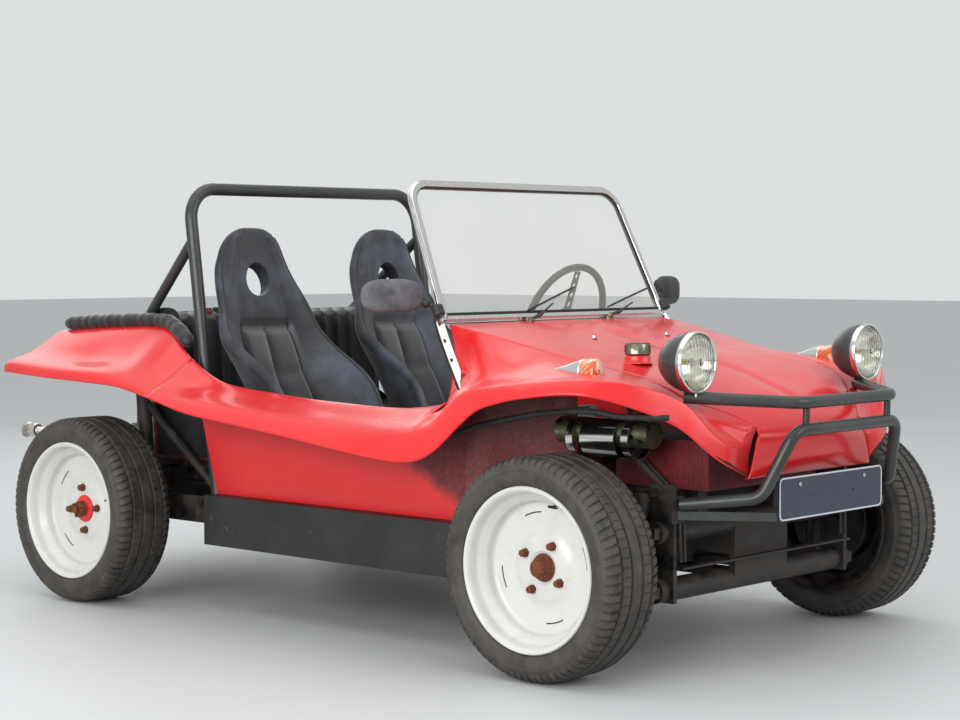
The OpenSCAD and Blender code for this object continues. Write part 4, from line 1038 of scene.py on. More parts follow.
def makeWindshield():
    out = (onGlass(0, 0, 1) - onGlass(0, 0, 0)).normalized()
    right = shieldOutline(0, -4)
    path = ([onGlass(x, up) for x, up in right]
            + [onGlass(-x, up) for x, up in reversed(right)])
    channel = [(-12, -8), (-13, -5), (-13, 6), (-11, 9), (3, 9), (5, 7), (9, 6), (10, 4), (10, -4),
               (9, -6), (4, -8)]
    frameShape = Shape().add(sweepSection(path, channel, out))
    # bottom rail, with its raised lip along the scuttle
    rail = [onGlass(x, 0) for x in steps(-478, 478, 30)]
    frameShape.add(sweepSection(rail, [(-9, -9), (-10, 5), (-7, 9), (3, 9), (6, 6), (12, 4),
                                       (13, 0), (9, -8)], out))
    # flat feet of the posts, bolted down to the scuttle's ends
    for side in (-1, 1):
        foot = smoothPath([Vector((side * x, y, z)) for x, y, z in shield["feet"]], 6)
        flat = [(-15, -3), (-16, 0), (-15, 3), (6, 3), (7, 14), (11, 14), (12, 2), (12, -3)]
        section = flat if side < 0 else [(-a, b) for a, b in reversed(flat)]
        facing = Vector((side * 0.45, -0.75, 0.3)).normalized()
        frameShape.add(sweepSection(foot, section, facing), 0)
        for share in (5, 10, 15):
            frameShape.add(boltHead(foot[share] + facing * 0.003, facing, 0.005, 0.003), 1)
    for x in steps(-440, 440, 11):
        frameShape.add(spun([(0, 0.0), (0.0005, 0.0028), (0.0015, 0.0018), (0.002, 0.0)],
                            onGlass(x, -2, 9), out, 10), 0)
        frameShape.add(spun([(0, 0.0), (0.0005, 0.0028), (0.0015, 0.0018), (0.002, 0.0)],
                            onGlass(x * 0.85, shield["tall"] - 2, 9), out, 10), 0)
    frameShape.make("windshieldFrame", "chassis", ["frameMetal", "rust"], "frame_silver",
                    ["windshield_frame"], 30)
    inner = shieldOutline(shield["inset"], 13)
    loop = ([onGlass(x, up) for x, up in inner] + [onGlass(-x, up) for x, up in reversed(inner)])
    seal = Shape().add(sweepSection(loop, [(-4, -6), (-4, 6), (-1, 7.5), (3, 6), (5, 2), (5, -2),
                                           (3, -6), (-1, -7.5)],
                                    out, True))
    seal.make("windshieldSeal", "chassis", ["seal"], "trim_black", [], 40)
    pane = shieldOutline(shield["inset"] + 3, 14)
    ring = [(x, up) for x, up in pane] + [(-x, up) for x, up in reversed(pane)]
    glass = Shape().add(gridSheet([[onGlass(0, 200, 2.5)] * len(ring),
                                   [onGlass(x, up, 2.5) for x, up in ring],
                                   [onGlass(x, up, -2.5) for x, up in ring],
                                   [onGlass(0, 200, -2.5)] * len(ring)], True))
    glass.make("windshieldGlass", "chassis", ["glass"], "glass", ["windshield_glass"], 30,
               weld=1e-5)
    # wipers: spindle, sprung arm, carrier and blade, all leaning the same way
    wiper = Shape()
    for pivot, joint, low, high in (((-150, 859), (-30, 910), (-137, 895), (106, 960)),
                                    ((208, 865), (336, 907), (227, 900), (450, 953))):
        def against(point, proud):
            x, z = point
            return onGlass(x, (z - shield["base"][1]) / math.cos(math.radians(shield["lean"])),
                           proud)
        base = against(pivot, 14)
        base.z = max(base.z, 0.862)
        wiper.add(spun([(-0.012, 0.013), (0.001, 0.013), (0.004, 0.010), (0.012, 0.0095),
                        (0.015, 0.006),
                        (0.015, 0)], base, (0, -0.35, 0.94), 24), 1)
        meet = against(joint, 17)
        wiper.add(sweep([base + Vector((0, 0, 0.010)),
                         base.lerp(meet, 0.3) + Vector((0, -0.010, 0.004)),
                         base.lerp(meet, 0.7) + Vector((0, -0.006, 0.003)), meet],
                        [(0.006, 0.004), (0.006, 0.005), (0.0035, 0.0025), (0.003, 0.002)], 10), 0)
        a, b = against(low, 8), against(high, 8)
        bow = [a.lerp(b, t) + out * 0.009 * (1 - (2 * t - 1) ** 2) for t in steps(0.08, 0.92, 10)]
        wiper.add(sweep(bow, (0.0022, 0.003), 8), 0)
        wiper.add(sweep([a, b], (0.0022, 0.0045), 8, up=tuple(out)), 2)
        for t in (0.1, 0.36, 0.64, 0.9):
            wiper.add(sweep([a.lerp(b, t) - out * 0.003, a.lerp(b, t) + out * 0.006], 0.0032, 8), 0)
    wiper.make("wiperArms", "chassis", ["plastic", "dullMetal", "seal"], "trim_black", ["wipers"],
               35)
    jets = Shape()
    for x in (-163, 163):
        place = Vector((x * mm, -0.741, 0.8205))
        jets.add(spun([(-0.004, 0.008), (0.003, 0.0075), (0.007, 0.006), (0.009, 0.0)], place,
                      (0, -0.2, 1), 20), 0)
        jets.add(sweep([place, place + Vector((0, 0.004, 0.014))], 0.003, 8), 1)
    jets.make("washerJets", "chassis", ["plastic", "chrome"], "trim_black", [], 35)
    print("windshield made")


mirror = {"centre": (604, -400, 946), "half": (92, 30, 45), "turn": 20, "clamp": (496, -471.5, 905)}


def makeMirrors():
    for side, name, skin in ((-1, "mirrorRight", "greyPlastic"), (1, "mirrorLeft", "plastic")):
        one = Shape()
        turn = Matrix.Rotation(math.radians(mirror["turn"]) * side, 3, "Z")
        centre = Vector((side * mirror["centre"][0], mirror["centre"][1], mirror["centre"][2])) * mm
        long, deep, tall = mirror["half"]
        rows = []
        for u in steps(-1, 1, 36):
            full = max(1e-3, (1 - abs(u) ** 3.4)) ** (1 / 2.2)
            row = []
            for k in range(32):
                a = 2 * math.pi * k / 32
                c, s = math.cos(a), math.sin(a)
                y = deep * full * math.copysign(abs(c) ** 0.75, c) * (0.55 if c > 0 else 1.0)
                z = tall * full * math.copysign(abs(s) ** 0.62, s)
                row.append(centre + turn @ Vector((u * long, y, z)) * mm)
            rows.append(row)
        one.add(gridSheet(rows, True, False, True))
        face = []
        for share, out in ((1.0, 15.0), (0.97, 17.0), (0.93, 17.2), (0.0, 17.0)):
            face.append([centre + turn
                         @ Vector((80 * share * math.copysign(abs(math.cos(a)) ** 0.6, math.cos(a)),
                                                 out, 36 * share
                                                 * math.copysign(abs(math.sin(a)) ** 0.6,
                                                                 math.sin(a)))) * mm
                         for a in steps(0, 2 * math.pi, 32)])
        one.add(gridSheet(face), 1)
        end = centre + turn @ Vector((-side * 82, 0, -8)) * mm
        clamp = Vector((side * mirror["clamp"][0], mirror["clamp"][1], mirror["clamp"][2])) * mm
        one.add(sweep(smoothPath([end, end.lerp(clamp, 0.35) + Vector((0, 0, 0.003)), clamp], 6),
                      (0.0075, 0.0065), 14), 2)
        one.add(spun([(-0.012, 0.0), (-0.012, 0.009), (-0.008, 0.0135), (0.008, 0.0135),
                      (0.012, 0.009),
                      (0.012, 0.0)], end.lerp(clamp, 0.32), (clamp - end), 24), 2)
        one.add(spun([(-0.016, 0.0), (-0.016, 0.013), (-0.012, 0.0165), (0.012, 0.0165),
                      (0.016, 0.013),
                      (0.016, 0.0)], clamp + Vector((side * 0.004, -0.001, 0)),
                      onGlass(0, 1) - onGlass(0, 0), 28), 2)
        one.make(name, "chassis", [skin, "silverGlass", "plastic"], "trim_black",
                 ["mirrors"] if side < 0 else [], 40)


lamp = {"centre": (394, -1258, 787), "foot": (394, -1222, 715.5)}
indicator = {"x": 538, "front": -1066, "long": 170, "top": 796, "base": 742, "rise": 22,
             "half": 26.5, "lens": 0.31}
tailLamp = {"x": 420, "y": 1215.5, "z": 725}


def makeLamps():
    for side, name in ((-1, "headlightRight"), (1, "headlightLeft")):
        at = Vector((side * lamp["centre"][0], lamp["centre"][1], lamp["centre"][2])) * mm
        one = Shape()
        one.add(spun([(0.007, 0.0755), (0.016, 0.0775), (0.022, 0.076), (0.03, 0.0745),
                      (0.05, 0.069),
                      (0.07, 0.0595), (0.088, 0.045), (0.1, 0.029), (0.105, 0.016), (0.106, 0)], at,
                      (0, 1, 0), 96), 0)
        one.add(spun([(0.010, 0.0775), (0.004, 0.0788), (-0.002, 0.0785), (-0.0055, 0.0765),
                      (-0.006, 0.0735),
                      (-0.003, 0.0705), (0.002, 0.0695), (0.004, 0.0705)], at, (0, 1, 0), 96), 1)
        one.add(spun([(0.004, 0.0695), (0.022, 0.063), (0.042, 0.047), (0.055, 0.028),
                      (0.060, 0.012),
                      (0.060, 0.0)], at, (0, 1, 0), 64), 2)
        one.add(spun([(0.020, 0.0), (0.021, 0.005), (0.028, 0.0075), (0.046, 0.0075),
                      (0.058, 0.006)],
                     at, (0, 1, 0), 24), 3)
        one.add(spun([(0.018, 0.012), (0.017, 0.011), (0.017, 0.0)], at, (0, 1, 0), 24), 1)
        # clamp screw under the ring
        one.add(boltHead(at + Vector((0, 0.004, -0.0785)), (0, 0, -1), 0.004, 0.005), 1)
        foot = Vector((side * lamp["foot"][0], lamp["foot"][1], lamp["foot"][2])) * mm
        one.add(spun([(0, 0.016), (0.004, 0.016), (0.005, 0.011), (0.010, 0.0105), (0.012, 0.008),
                      (0.016, 0.008), (0.024, 0.010)], foot, (0, 0, 1), 24), 0)
        one.add(spun([(0.004, 0.0125), (0.011, 0.0125), (0.011, 0.006)], foot, (0, 0, 1), 6), 1)
        one.make(name, "chassis", ["tube", "chrome", "bowl", "bulbGlass"], "trim_black",
                 ["headlights"] if side < 0 else [], 35)
        lens = Shape().add(spun([(0.003, 0.0705), (-0.003, 0.069), (-0.006, 0.062),
                                 (-0.0095, 0.048),
                                 (-0.012, 0.03), (-0.0132, 0.012), (-0.0135, 0.0)], at, (0, 1, 0),
                                 96))
        thickened(lens.make(name + "Lens", "chassis", ["fluted"], "glass", [], 50), 2.5)
    for side, name in ((-1, "indicatorRight"), (1, "indicatorLeft")):
        one = Shape()
        top, rows, lensRows = indicator["top"] * mm, [], []
        for u in steps(0, 1, 26):
            y = (indicator["front"] + u * indicator["long"]) * mm
            grow = (max(0.0, 1 - (1 - min(1, u / 0.10)) ** 3) ** 0.4 if u < 0.10
                    else 1 - 0.92 * ((u - 0.10) / 0.90) ** 1.7)
            base = (indicator["base"] + indicator["rise"] * u) * mm
            wide = indicator["half"] * mm * (0.25 + 0.75 * grow) * (0.15 if u in (0, 1) else 1)
            high = max(0.003, (top - 0.030 * max(0, u - 0.4) - base) * grow)
            row = [Vector((side * indicator["x"] * mm + wide
                           * math.copysign(abs(math.cos(a)) ** 0.7, math.cos(a)), y,
                           base + high * abs(math.sin(a)) ** 0.8 * (1 if a <= math.pi else -0.15)))
                   for a in steps(0, 2 * math.pi, 28)]
            (lensRows if u <= indicator["lens"] else rows).append(row)
        rows.insert(0, [p + Vector((0, 0.001, 0)) for p in lensRows[-1]])
        one.add(gridSheet(lensRows, False, False, True), 0)
        one.add(gridSheet(rows, False, False, True), 1)
        one.add(sweep([lensRows[-1][k] + Vector((0, 0.0005, 0)) for k in range(28)], 0.002, 8,
                      True), 1)
        one.make(name, "chassis", ["amber", "chrome"], "lamp_orange", ["lamps"] if side < 0 else [],
                 50)
    tails = Shape()
    for side in (-1, 1):
        at = Vector((side * tailLamp["x"], tailLamp["y"], tailLamp["z"])) * mm
        tails.add(spun([(0, 0.042), (0.008, 0.043), (0.011, 0.040), (0.011, 0.037)], at, (0, 1, 0),
                       48), 1)
        tails.add(spun([(0.011, 0.0375), (0.018, 0.037), (0.026, 0.032), (0.031, 0.022),
                        (0.033, 0.010),
                        (0.0335, 0)], at, (0, 1, 0), 48), 0)
    tails.make("tailLamps", "chassis", ["redLens", "seal"], "lamp_orange", [], 40)
    print("lamps made")


# seats: one closed padded shell each, in the line of the CAD seat
seat = {"x": 285, "half": 190, "pad": 54, "lean": 20, "hip": (250, 400), "base": 480, "back": 795,
        "insert": 0.54, "hole": (0.775, 46, 55),
        "grooves": (-0.9, -0.62, -0.34, -0.06, 0.2, 0.39, 0.575)}


def seatPoint(side, t, s, depth):
    lean = math.radians(seat["lean"])
    y, z = seat["hip"]
    if t < 0:
        y, z = y + t * seat["base"], z - t * 40
    else:
        # upright above, swept forward below
        y += seat["back"] * math.sin(lean) * (1 - (1 - t) ** 1.9)
        z += t * seat["back"] * math.cos(lean)
    a = min(1, max(0, (t + 0.1) / 0.22))
    a = a * a * (3 - 2 * a)
    normal = Vector((0, -a, 1 - a * 0.6)).normalized()
    half = seat["half"] * (1 - 0.36 * min(1, max(0, (t - 0.5) / 0.38)) ** 1.3)
    if t > 0.84:
        half *= math.sqrt(max(0.03, 1 - ((t - 0.84) / 0.162) ** 2))
    wing = 150
    for low, high, start, end in ((-0.1, 0.22, 150, 205), (0.22, 0.6, 205, 42), (0.6, 0.86, 42, 0)):
        share = min(1, max(0, (t - low) / (high - low)))
        wing = wing + (end - start) * share * share * (3 - 2 * share)
    out = abs(s)
    lift = wing * out ** 3.4
    if depth == 0:
        rows = seat["grooves"]
        cell = next((k for k in range(len(rows) - 1) if rows[k] <= t < rows[k + 1]), None)
        if cell is not None and out < seat["insert"]:
            up = (t - rows[cell]) / (rows[cell + 1] - rows[cell])
            cross = out / seat["insert"] if t < 0 else abs(2 * out / seat["insert"] - 1)
            lift += 17 * (4 * up * (1 - up)) ** 0.4 * (1 - min(1, cross) ** 2.6) ** 0.5
        elif t > 0.575:
            lift += 12 * (1 - out ** 2) * max(0, 1 - ((t - 0.78) / 0.22) ** 2)
        if out > seat["insert"]:
            lift += 11 * math.sin(math.pi * (out - seat["insert"]) / (1 - seat["insert"])) ** 0.8
        fold = math.exp(-((out - seat["insert"]) / 0.035) ** 2) if t < 0.59 else 0
        if out < seat["insert"] + 0.04:
            fold = max(fold, math.exp(-((t - 0.582) / 0.013) ** 2))
        lift -= 13 * fold
    return Vector((side * seat["x"] + s * half, y, z)) * mm + normal * (lift - depth) * mm


def makeSeat(side, name):
    ts = ([-1.0 + 0.01 * k for k in range(3)] + steps(-0.96, 0.96, 104)
          + [1.0 - 0.012 * k for k in range(2, -1, -1)])
    ss = steps(-1, 1, 56)
    count = len(ss)
    tHole, wideHole, tallHole = seat["hole"]

    def reach(t, s):
        return math.hypot(s * seat["half"] * 0.75 / wideHole, (t - tHole) * seat["back"] / tallHole)

    gone = {(i, j) for i in range(len(ts) - 1) for j in range(count - 1)
            if reach((ts[i] + ts[i + 1]) / 2, (ss[j] + ss[j + 1]) / 2) < 0.97}
    rows = []
    for i, t in enumerate(ts):
        end = min(t + 1, 1 - t)
        ease = math.sqrt(max(0, 1 - (1 - min(1, end / 0.035)) ** 2))
        thick = (seat["pad"] - 20 * min(1, max(0, (t - 0.5) / 0.15))) * (0.45 + 0.55 * ease)
        shift = seat["pad"] * 0.28 * (1 - ease)
        front, back = [], []
        for j, s in enumerate(ss):
            tt, sp = t, s
            around = {(i - a, j - b) for a in (0, 1) for b in (0, 1)}
            if around & gone and around - gone:
                r = max(0.2, reach(t, s))
                tt, sp = tHole + (t - tHole) / r, s / r
            front.append(seatPoint(side, tt, sp, shift if shift > 0.5 else 0))
            back.append(seatPoint(side, tt, sp, shift + thick))
        edge = []
        for a, b, way in ((front[-1], back[-1], 1), (back[0], front[0], -1)):
            for u in (0.2, 0.5, 0.8):
                edge.append(a.lerp(b, u) + Vector((way * 0.011 * math.sin(math.pi * u), 0, 0)))
        rows.append(front + edge[:3] + list(reversed(back)) + edge[3:])
    wide = len(rows[0])
    points = [p for row in rows for p in row]
    faces, paint = [], []
    mirrorOf = {j: count + 3 + (count - 1 - j) for j in range(count)}
    for i in range(len(ts) - 1):
        for j in range(wide):
            l = (j + 1) % wide
            cell = j if j < count - 1 else None
            if cell is None and count + 3 <= j < 2 * count + 2:
                cell = count - 2 - (j - count - 3)
            if cell is not None and (i, cell) in gone:
                continue
            faces.append((i * wide + j, i * wide + l, (i + 1) * wide + l, (i + 1) * wide + j))
            mid = abs(ss[cell] + ss[cell + 1]) / 2 if cell is not None else 1
            inside = j < count - 1 and mid < seat["insert"] and -0.9 < ts[i] < 0.575
            paint.append(1 if inside else 0)
    for i, j in gone:
        for (a, b), other in ((((i, j), (i, j + 1)), (i - 1, j)),
                              (((i + 1, j + 1), (i + 1, j)), (i + 1, j)),
                              (((i + 1, j), (i, j)), (i, j - 1)),
                              (((i, j + 1), (i + 1, j + 1)), (i, j + 1))):
            if other not in gone:
                faces.append((b[0] * wide + b[1], a[0] * wide + a[1], a[0] * wide + mirrorOf[a[1]],
                              b[0] * wide + mirrorOf[b[1]]))
                paint.append(0)
    for i in (0, len(ts) - 1):
        ring = [i * wide + j for j in range(wide)]
        faces.append(tuple(reversed(ring)) if i == 0 else tuple(ring))
        paint.append(0)
    body = Shape().add((points, faces))
    body.paint = paint
    made = body.make(name, "chassis", ["vinyl", "cloth"], "vinyl_black",
                     ["seat_right" if side < 0 else "seat_left"], 75)
    cleanFaces(made)
    piping = Shape()
    for s in (-seat["insert"], seat["insert"]):
        piping.add(sweep([seatPoint(side, t, s, 0) + Vector((0, 0, 0.002))
                          for t in steps(-0.88, 0.57, 60)], 0.0028, 8))
    for s in (-0.985, 0.985):
        piping.add(sweep([seatPoint(side, t, s, -2) for t in steps(-0.95, 0.95, 70)], 0.0032, 8))
    piping.make(name + "Piping", "chassis", ["trimVinyl"], "vinyl_black", [], 60)


bench = {"half": 424, "channel": 57,
         "side": [(410, 436), (405, 470), (403, 530), (412, 556), (440, 566), (560, 562),
                  (670, 556), (692, 566),
                  (697, 600), (706, 760), (713, 845), (726, 868), (750, 876), (795, 875),
                  (812, 862),
                  (816, 800), (806, 560), (800, 437)]}


def makeBench():
    outline = [Vector((0, y, z)) for y, z in bench["side"]]
    path = smoothPath(outline, 5)
    middle = sum(path, Vector()) / len(path)
    rows = []
    for x in steps(-bench["half"], bench["half"], 150):
        edge = min(1, (bench["half"] - abs(x)) / 26)
        ease = math.sqrt(max(0.0, 1 - (1 - edge) ** 2))
        roll = abs(math.sin(math.pi * (x / bench["channel"] + 0.5))) ** 0.5
        row = []
        for i, p in enumerate(path):
            ahead, behind = path[(i + 1) % len(path)], path[i - 1]
            line = (ahead - behind).normalized()
            out = Vector((0, line.z, -line.y))
            soft = 1 if (p.y < 715 and p.z > 562) or p.z > 860 else 0
            q = p - out * (14 * (1 - ease) + soft * (7 - 9 * roll))
            row.append(Vector((x, q.y, q.z)) * mm)
        rows.append(row)
    body = Shape().add(gridSheet(rows, True, False, True))
    made = body.make("rearBench", "chassis", ["trimVinyl"], "vinyl_black", ["rear_bench"], 80)
    cleanFaces(made)
    piping = Shape()
    for pick in (5, 13):
        p = outline[pick]
        piping.add(sweep([Vector((x, p.y, p.z + (4 if pick == 5 else 2))) * mm
                          for x in steps(-400, 400, 60)], 0.0035, 8))
    piping.make("benchPiping", "chassis", ["trimVinyl"], "vinyl_black", [], 60)
    rollShape = Shape()
    for side in (-1, 1):
        path, size = [], []
        for k, d in enumerate(steps(1534, 2206, 120)):
            p = lineAt("rail", d)
            path.append(Vector((side * (p.x - 0.022), p.y, p.z + 0.024)))
            end = min(1.0, min(k, 120 - k) / 5)
            wave = (0.0016 * math.sin(d / 9.0) * math.sin(d / 23.0 + 1)
                    - 0.0022 * math.exp(-((d % 112 - 56) / 3.0) ** 2))
            r = 0.0225 * math.sqrt(max(0.06, 1 - (1 - end) ** 2)) + wave * end
            size.append((r * 1.04, r * 0.97))
        rollShape.add(sweep(path, size, 28))
    pad = rollShape.make("trimRoll", "chassis", ["trimVinyl"], "vinyl_black", ["trim_roll"], 80)
    clips = Shape()
    for x, paint in ((-0.285, 0), (-0.21, 1)):
        clips.add(slab((x - 0.022, 0.735, 0.872), (x + 0.022, 0.775, 0.892)), paint)
    clips.make("beltBuckles", "chassis", ["redLens", "plastic"], "trim_black", [], 30, bevel=4)
    print("soft trim made")


gauge = {"face": -0.4945, "high": 0.80, "switches": (-0.1, -0.15, -0.2),
         "dials": ((0.285, 0.042), (0.19, 0.028), (0.38, 0.028), (0.10, 0.026), (0.02, 0.026))}
steer = {"centre": (0.285, -0.256, 0.858), "lean": 20, "rim": 0.171, "grip": 0.011, "hole": 0.0085}


def holedTile(place, along, across, out, half, hole, thick):
    loop = []
    for k in range(24):
        a = 2 * math.pi * k / 24
        c, s = math.cos(a), math.sin(a)
        big = max(abs(c), abs(s))
        loop.append((half[0] * c / big, half[1] * s / big, hole * c, hole * s))
    rows = []
    for pick, up in ((0, 1), (2, 1), (2, -1), (0, -1), (0, 1)):
        rows.append([place + along * l[pick] + across * l[pick + 1] + out * up * thick / 2
                     for l in loop])
    return gridSheet(rows, True)


def makeSteering():
    lean = math.radians(steer["lean"])
    axis = Vector((0, math.cos(lean), math.sin(lean)))
    up = Vector((0, -math.sin(lean), math.cos(lean)))
    centre = Vector(steer["centre"])
    one = Shape()
    profile = []
    for k in range(13):
        a = 2 * math.pi * k / 12
        profile.append((steer["grip"] * math.cos(a), steer["rim"] + steer["grip"] * math.sin(a)))
    rows = []
    for i in range(96):
        turn = 2 * math.pi * i / 96
        out = up * math.cos(turn) + Vector((1, 0, 0)) * math.sin(turn)
        finger = 1 - 0.06 * (math.sin(turn * 24) > 0.2)
        rows.append([centre + axis * s * finger + out
                     * (steer["rim"] + (r - steer["rim"]) * finger) for s, r in profile])
    one.add(gridSheet(rows, False, True), 0)
    for k in range(3):
        turn = 2 * math.pi * k / 3
        out = up * math.cos(turn) + Vector((1, 0, 0)) * math.sin(turn)
        across = axis.cross(out)
        for n, r in enumerate((0.052, 0.082, 0.112, 0.142)):
            one.add(holedTile(centre + out * r, out, across, axis, (0.0151, 0.0145 - 0.0008 * n),
                              steer["hole"] - 0.0006 * n,
                              0.004), 1)
    one.add(spun([(-0.006, 0.042), (0.004, 0.042), (0.006, 0.038), (0.012, 0.034), (0.017, 0.026),
                  (0.019, 0.012),
                  (0.019, 0)], centre, axis, 48), 0)
    one.add(spun([(-0.006, 0.042), (-0.008, 0.030), (-0.05, 0.014), (-0.05, 0.0)], centre, axis,
                 36), 1)
    for k in range(6):
        a = math.pi / 3 * k + 0.5
        one.add(boltHead(centre + axis * 0.0045
                         + (up * math.cos(a) + Vector((1, 0, 0)) * math.sin(a)) * 0.0375, axis,
                         0.0032, 0.0015), 1)
    one.make("steeringWheelVisual", "steering_wheel", ["plastic", "tube"], "trim_black",
             ["steering_wheel"], 40)
    gauges = Shape()
    for x, r in gauge["dials"]:
        at = Vector((x, gauge["face"], gauge["high"]))
        gauges.add(spun([(0, r + 0.003), (0.006, r + 0.003), (0.008, r), (0.005, r - 0.003)], at,
                        (0, 1, 0), 40), 0)
        gauges.add(spun([(0.004, r - 0.002), (0.004, 0)], at, (0, 1, 0), 40), 1)
        gauges.add(sweep([at + Vector((0, 0.006, 0)), at + Vector((-0.6 * r, 0.006, 0.45 * r))],
                         [0.0014, 0.0006], 6), 2)
    for x in gauge["switches"]:
        at = Vector((x, gauge["face"], gauge["high"]))
        gauges.add(sweep([at, at + Vector((0, 0.0165, 0))], [0.006, 0.0045], 12), 0)
    gauges.make("gauges", "chassis", ["chrome", "plastic", "redLens"], "trim_black", [], 35)
    stalks = Shape()
    neck = centre - axis * 0.06
    for way in (-1, 1):
        stalks.add(sweep(smoothPath([neck, neck + Vector((way * 0.06, 0.0, 0.01)),
                                     neck + Vector((way * 0.125, 0.02, 0.02))], 6),
                         [0.0035] * 9 + [0.006] * 4, 10))
    stalks.make("columnStalks", "chassis", ["plastic"], "trim_black", [], 40)
    print("steering made")


# small parts in metres; profiles are (height, radius)
filler = {"place": (-0.285, -0.985, 0.7965), "knurl": 0.0016,
          "cap": ((-0.004, 0.031), (0.002, 0.0345), (0.006, 0.0345), (0.022, 0.0345),
                  (0.027, 0.032),
                  (0.030, 0.026), (0.0305, 0.0)),
          "collar": [(-0.024, 0.040), (-0.018, 0.036), (-0.006, 0.035), (-0.004, 0.033),
                     (-0.004, 0.03)]}
plateEdge = {"half": 0.237, "y": -1.3995, "low": 0.389, "high": 0.4935, "corner": 0.012,
             "bolts": (0.15, -1.399, 0.475)}
canister = {"x": -0.437, "z": 0.5885, "straps": (-1.10, -0.92), "sleeve": -1.01}
archLiner = {"line": ((0.5475, -0.60), (0.5475, -0.618), (0.5, -0.672), (0.45, -0.735),
                      (0.412, -0.80), (0.404, -0.879)), "low": 0.36, "high": 0.742}
stay = {"bar": ((0.36, -1.032, 0.552), (0.36, -1.10, 0.497), (0.36, -1.165, 0.445),
                (0.36, -1.187, 0.40), (0.36, -1.193, 0.28)),
        "hose": ((0.60, 0.38, 0.585), (0.60, 0.284, 0.615), (0.60, 0.08, 0.655),
                 (0.60, -0.083, 0.668), (0.585, -0.17, 0.658), (0.50, -0.25, 0.655))}
shock = {"low": (0.40, -0.955, 0.245), "high": (0.385, -0.93, 0.50), "coils": 11, "pitch": 0.036}


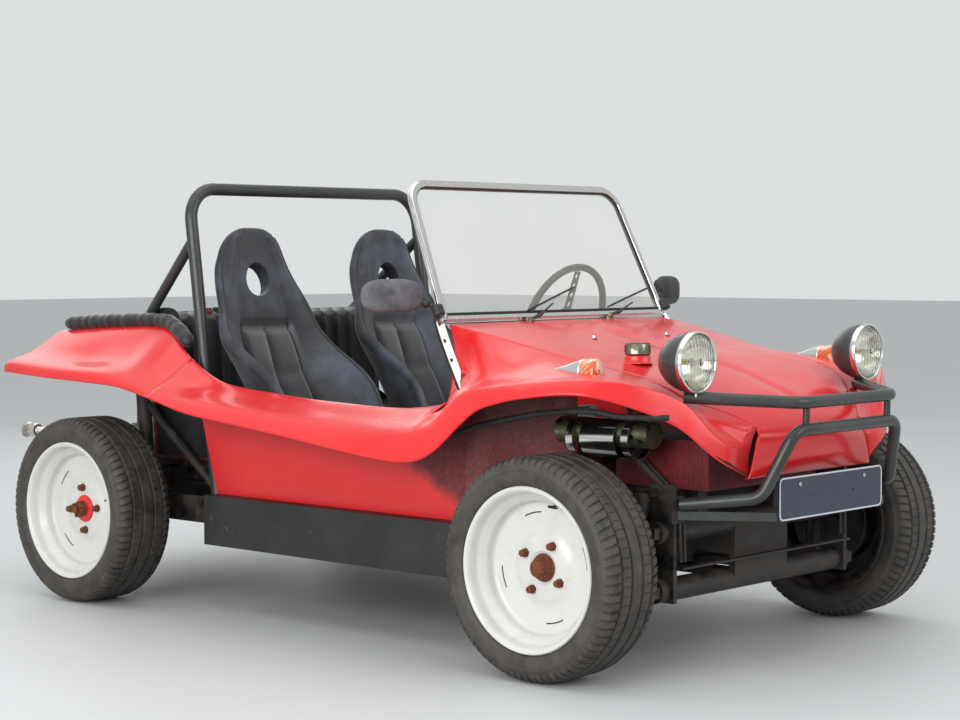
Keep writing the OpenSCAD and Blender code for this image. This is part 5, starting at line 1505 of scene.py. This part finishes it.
def makeSmallParts():
    cap = Shape()
    at = Vector(filler["place"])
    rows = []
    for z, r in filler["cap"]:
        rows.append([at + Vector((math.cos(a) * (r - (filler["knurl"]
                                                      if k % 2 and 0.003 < z < 0.025 else 0)),
                                  math.sin(a) * (r - (filler["knurl"]
                                                      if k % 2 and 0.003 < z < 0.025 else 0)), z))
                     for k, a in enumerate(steps(0, 2 * math.pi, 72))])
    cap.add(gridSheet(rows), 0)
    cap.add(spun(filler["collar"], at, (0, 0, 1), 48), 1)
    cap.make("fillerCap", "chassis", ["dullMetal", "red"], "frame_silver", [], 40)
    plate = Shape()
    half, low, high = plateEdge["half"], plateEdge["low"], plateEdge["high"]
    corners = [Vector((x, plateEdge["y"], z))
               for x, z in ((-half, low), (half, low), (half, high), (-half, high))]
    corner = plateEdge["corner"]
    edge = []
    for i, c in enumerate(corners):
        before, after = corners[i - 1], corners[(i + 1) % 4]
        edge += [c + (before - c).normalized() * corner,
                 c + ((before - c).normalized() + (after - c).normalized()) * 0.0035,
                 c + (after - c).normalized() * corner]
    plate.add(sweep(edge, (0.0022, 0.0012), 8, True, up=(0, 1, 0)), 0)
    x, y, z = plateEdge["bolts"]
    for way in (-1, 1):
        plate.add(boltHead(Vector((way * x, y, z)), (0, -1, 0), 0.006, 0.003), 1)
    plate.make("plateBorder", "chassis", ["plateRim", "chrome"], "plate_dark", [], 35)
    straps = Shape()
    x, z = canister["x"], canister["z"]
    for y in canister["straps"]:
        straps.add(spun([(-0.011, 0.0497), (-0.011, 0.051), (0.011, 0.051), (0.011, 0.0497)],
                        (x, y, z), (0, 1, 0), 48))
    straps.add(spun([(-0.055, 0.0492), (-0.055, 0.0504), (0.055, 0.0504), (0.055, 0.0492)],
                    (x, canister["sleeve"], z), (0, 1, 0), 48), 0)
    straps.make("canisterStraps", "chassis", ["chrome", "dullMetal"], "canister_grey", [], 35)
    # liner behind each front wheel
    liner = Shape()
    rows = []
    for x, y in archLiner["line"]:
        rows.append([Vector((x, y, z)) for z in steps(archLiner["low"], archLiner["high"], 24)])
    liner.add(gridSheet(rows), 0)
    liner.join(liner.mirrored())
    thickened(liner.make("archLiners", "chassis", ["tub", "seal"], "maroon_shell", [], 60), 3)
    # bent stays from the frame head down to the axle beam, and the dark pan behind the beam
    stays = Shape()
    for side in (-1, 1):
        for shift in (0, 0.018):
            path = smoothPath([Vector((side * (x + shift), y, z)) for x, y, z in stay["bar"]], 6)
            stays.add(sweep(path, (0.004, 0.009), 8))
        edge = smoothPath([Vector((side * x, y - 1, z)) for x, y, z in stay["hose"]], 8)
        stays.add(sweep(edge, 0.008, 10), 1)
    stays.add(slab((-0.33, -0.915, 0.20), (0.33, -0.905, 0.44)))
    stays.make("frontStays", "chassis", ["chassis", "seal"], "chassis_black", [], 50)
    shocks = Shape()
    for side in (-1, 1):
        low, high = [Vector((side * x, y, z)) for x, y, z in (shock["low"], shock["high"])]
        line = high - low
        parts = [(0.0, 0.014), (0.12, 0.014), (0.13, 0.024), (0.46, 0.024), (0.47, 0.018),
                 (0.5, 0.019)]
        for n in range(shock["coils"]):
            along = 0.52 + shock["pitch"] * n
            parts += [(along, 0.0275), (along + shock["pitch"] / 2, 0.021)]
        parts += [(0.93, 0.018), (1.0, 0.012)]
        shocks.add(spun([(a * line.length, r) for a, r in parts], low, line, 28))
    shocks.make("frontShocks", "chassis", ["seal"], "chassis_black", [], 50)
    print("small parts made")


def makeFloor():
    half = studio["floorHalf"]
    mesh = bpy.data.meshes.new("floor")
    mesh.from_pydata([(-half, -half, 0), (half, -half, 0), (-half, half, 0), (half, half, 0)],
                     [], [(0, 1, 3, 2)])
    mesh.materials.append(floorPaint())
    piece = bpy.data.objects.new("floor", mesh)
    scene.collection.objects.link(piece)


makeCamera()
makeLight()
makeFloor()
makeBody()
makeBonnet()
makeDeck()
print("body made")
makeWheels()
makeWindshield()
makeMirrors()
makeLamps()
makeSeat(-1, "seatRight")
makeSeat(1, "seatLeft")
makeBench()
makeSteering()
makeSmallParts()

for name, paint in {
        "floor_pan": "chassis", "sills": "sill", "cockpit_walls": "tub", "bulkheads": "laminate",
        "front_axle": "chassis", "rear_axle": "chassis", "gearbox": "alloy", "engine": "alloy",
        "exhaust": "pipe", "fuel_tank": "laminate", "heater_canister": "dullMetal",
        "dashboard": "plastic", "steering_column": "chassis",
        "roll_bar": "tube", "levers": "plastic", "bumper_bar": "tube", "bumper_hoop": "tube",
        "number_plate": "plate", "knuckle_right": "chassis", "knuckle_left": "chassis",
        "tie_rods": "chassis"}.items():
    recolour(name, paint)
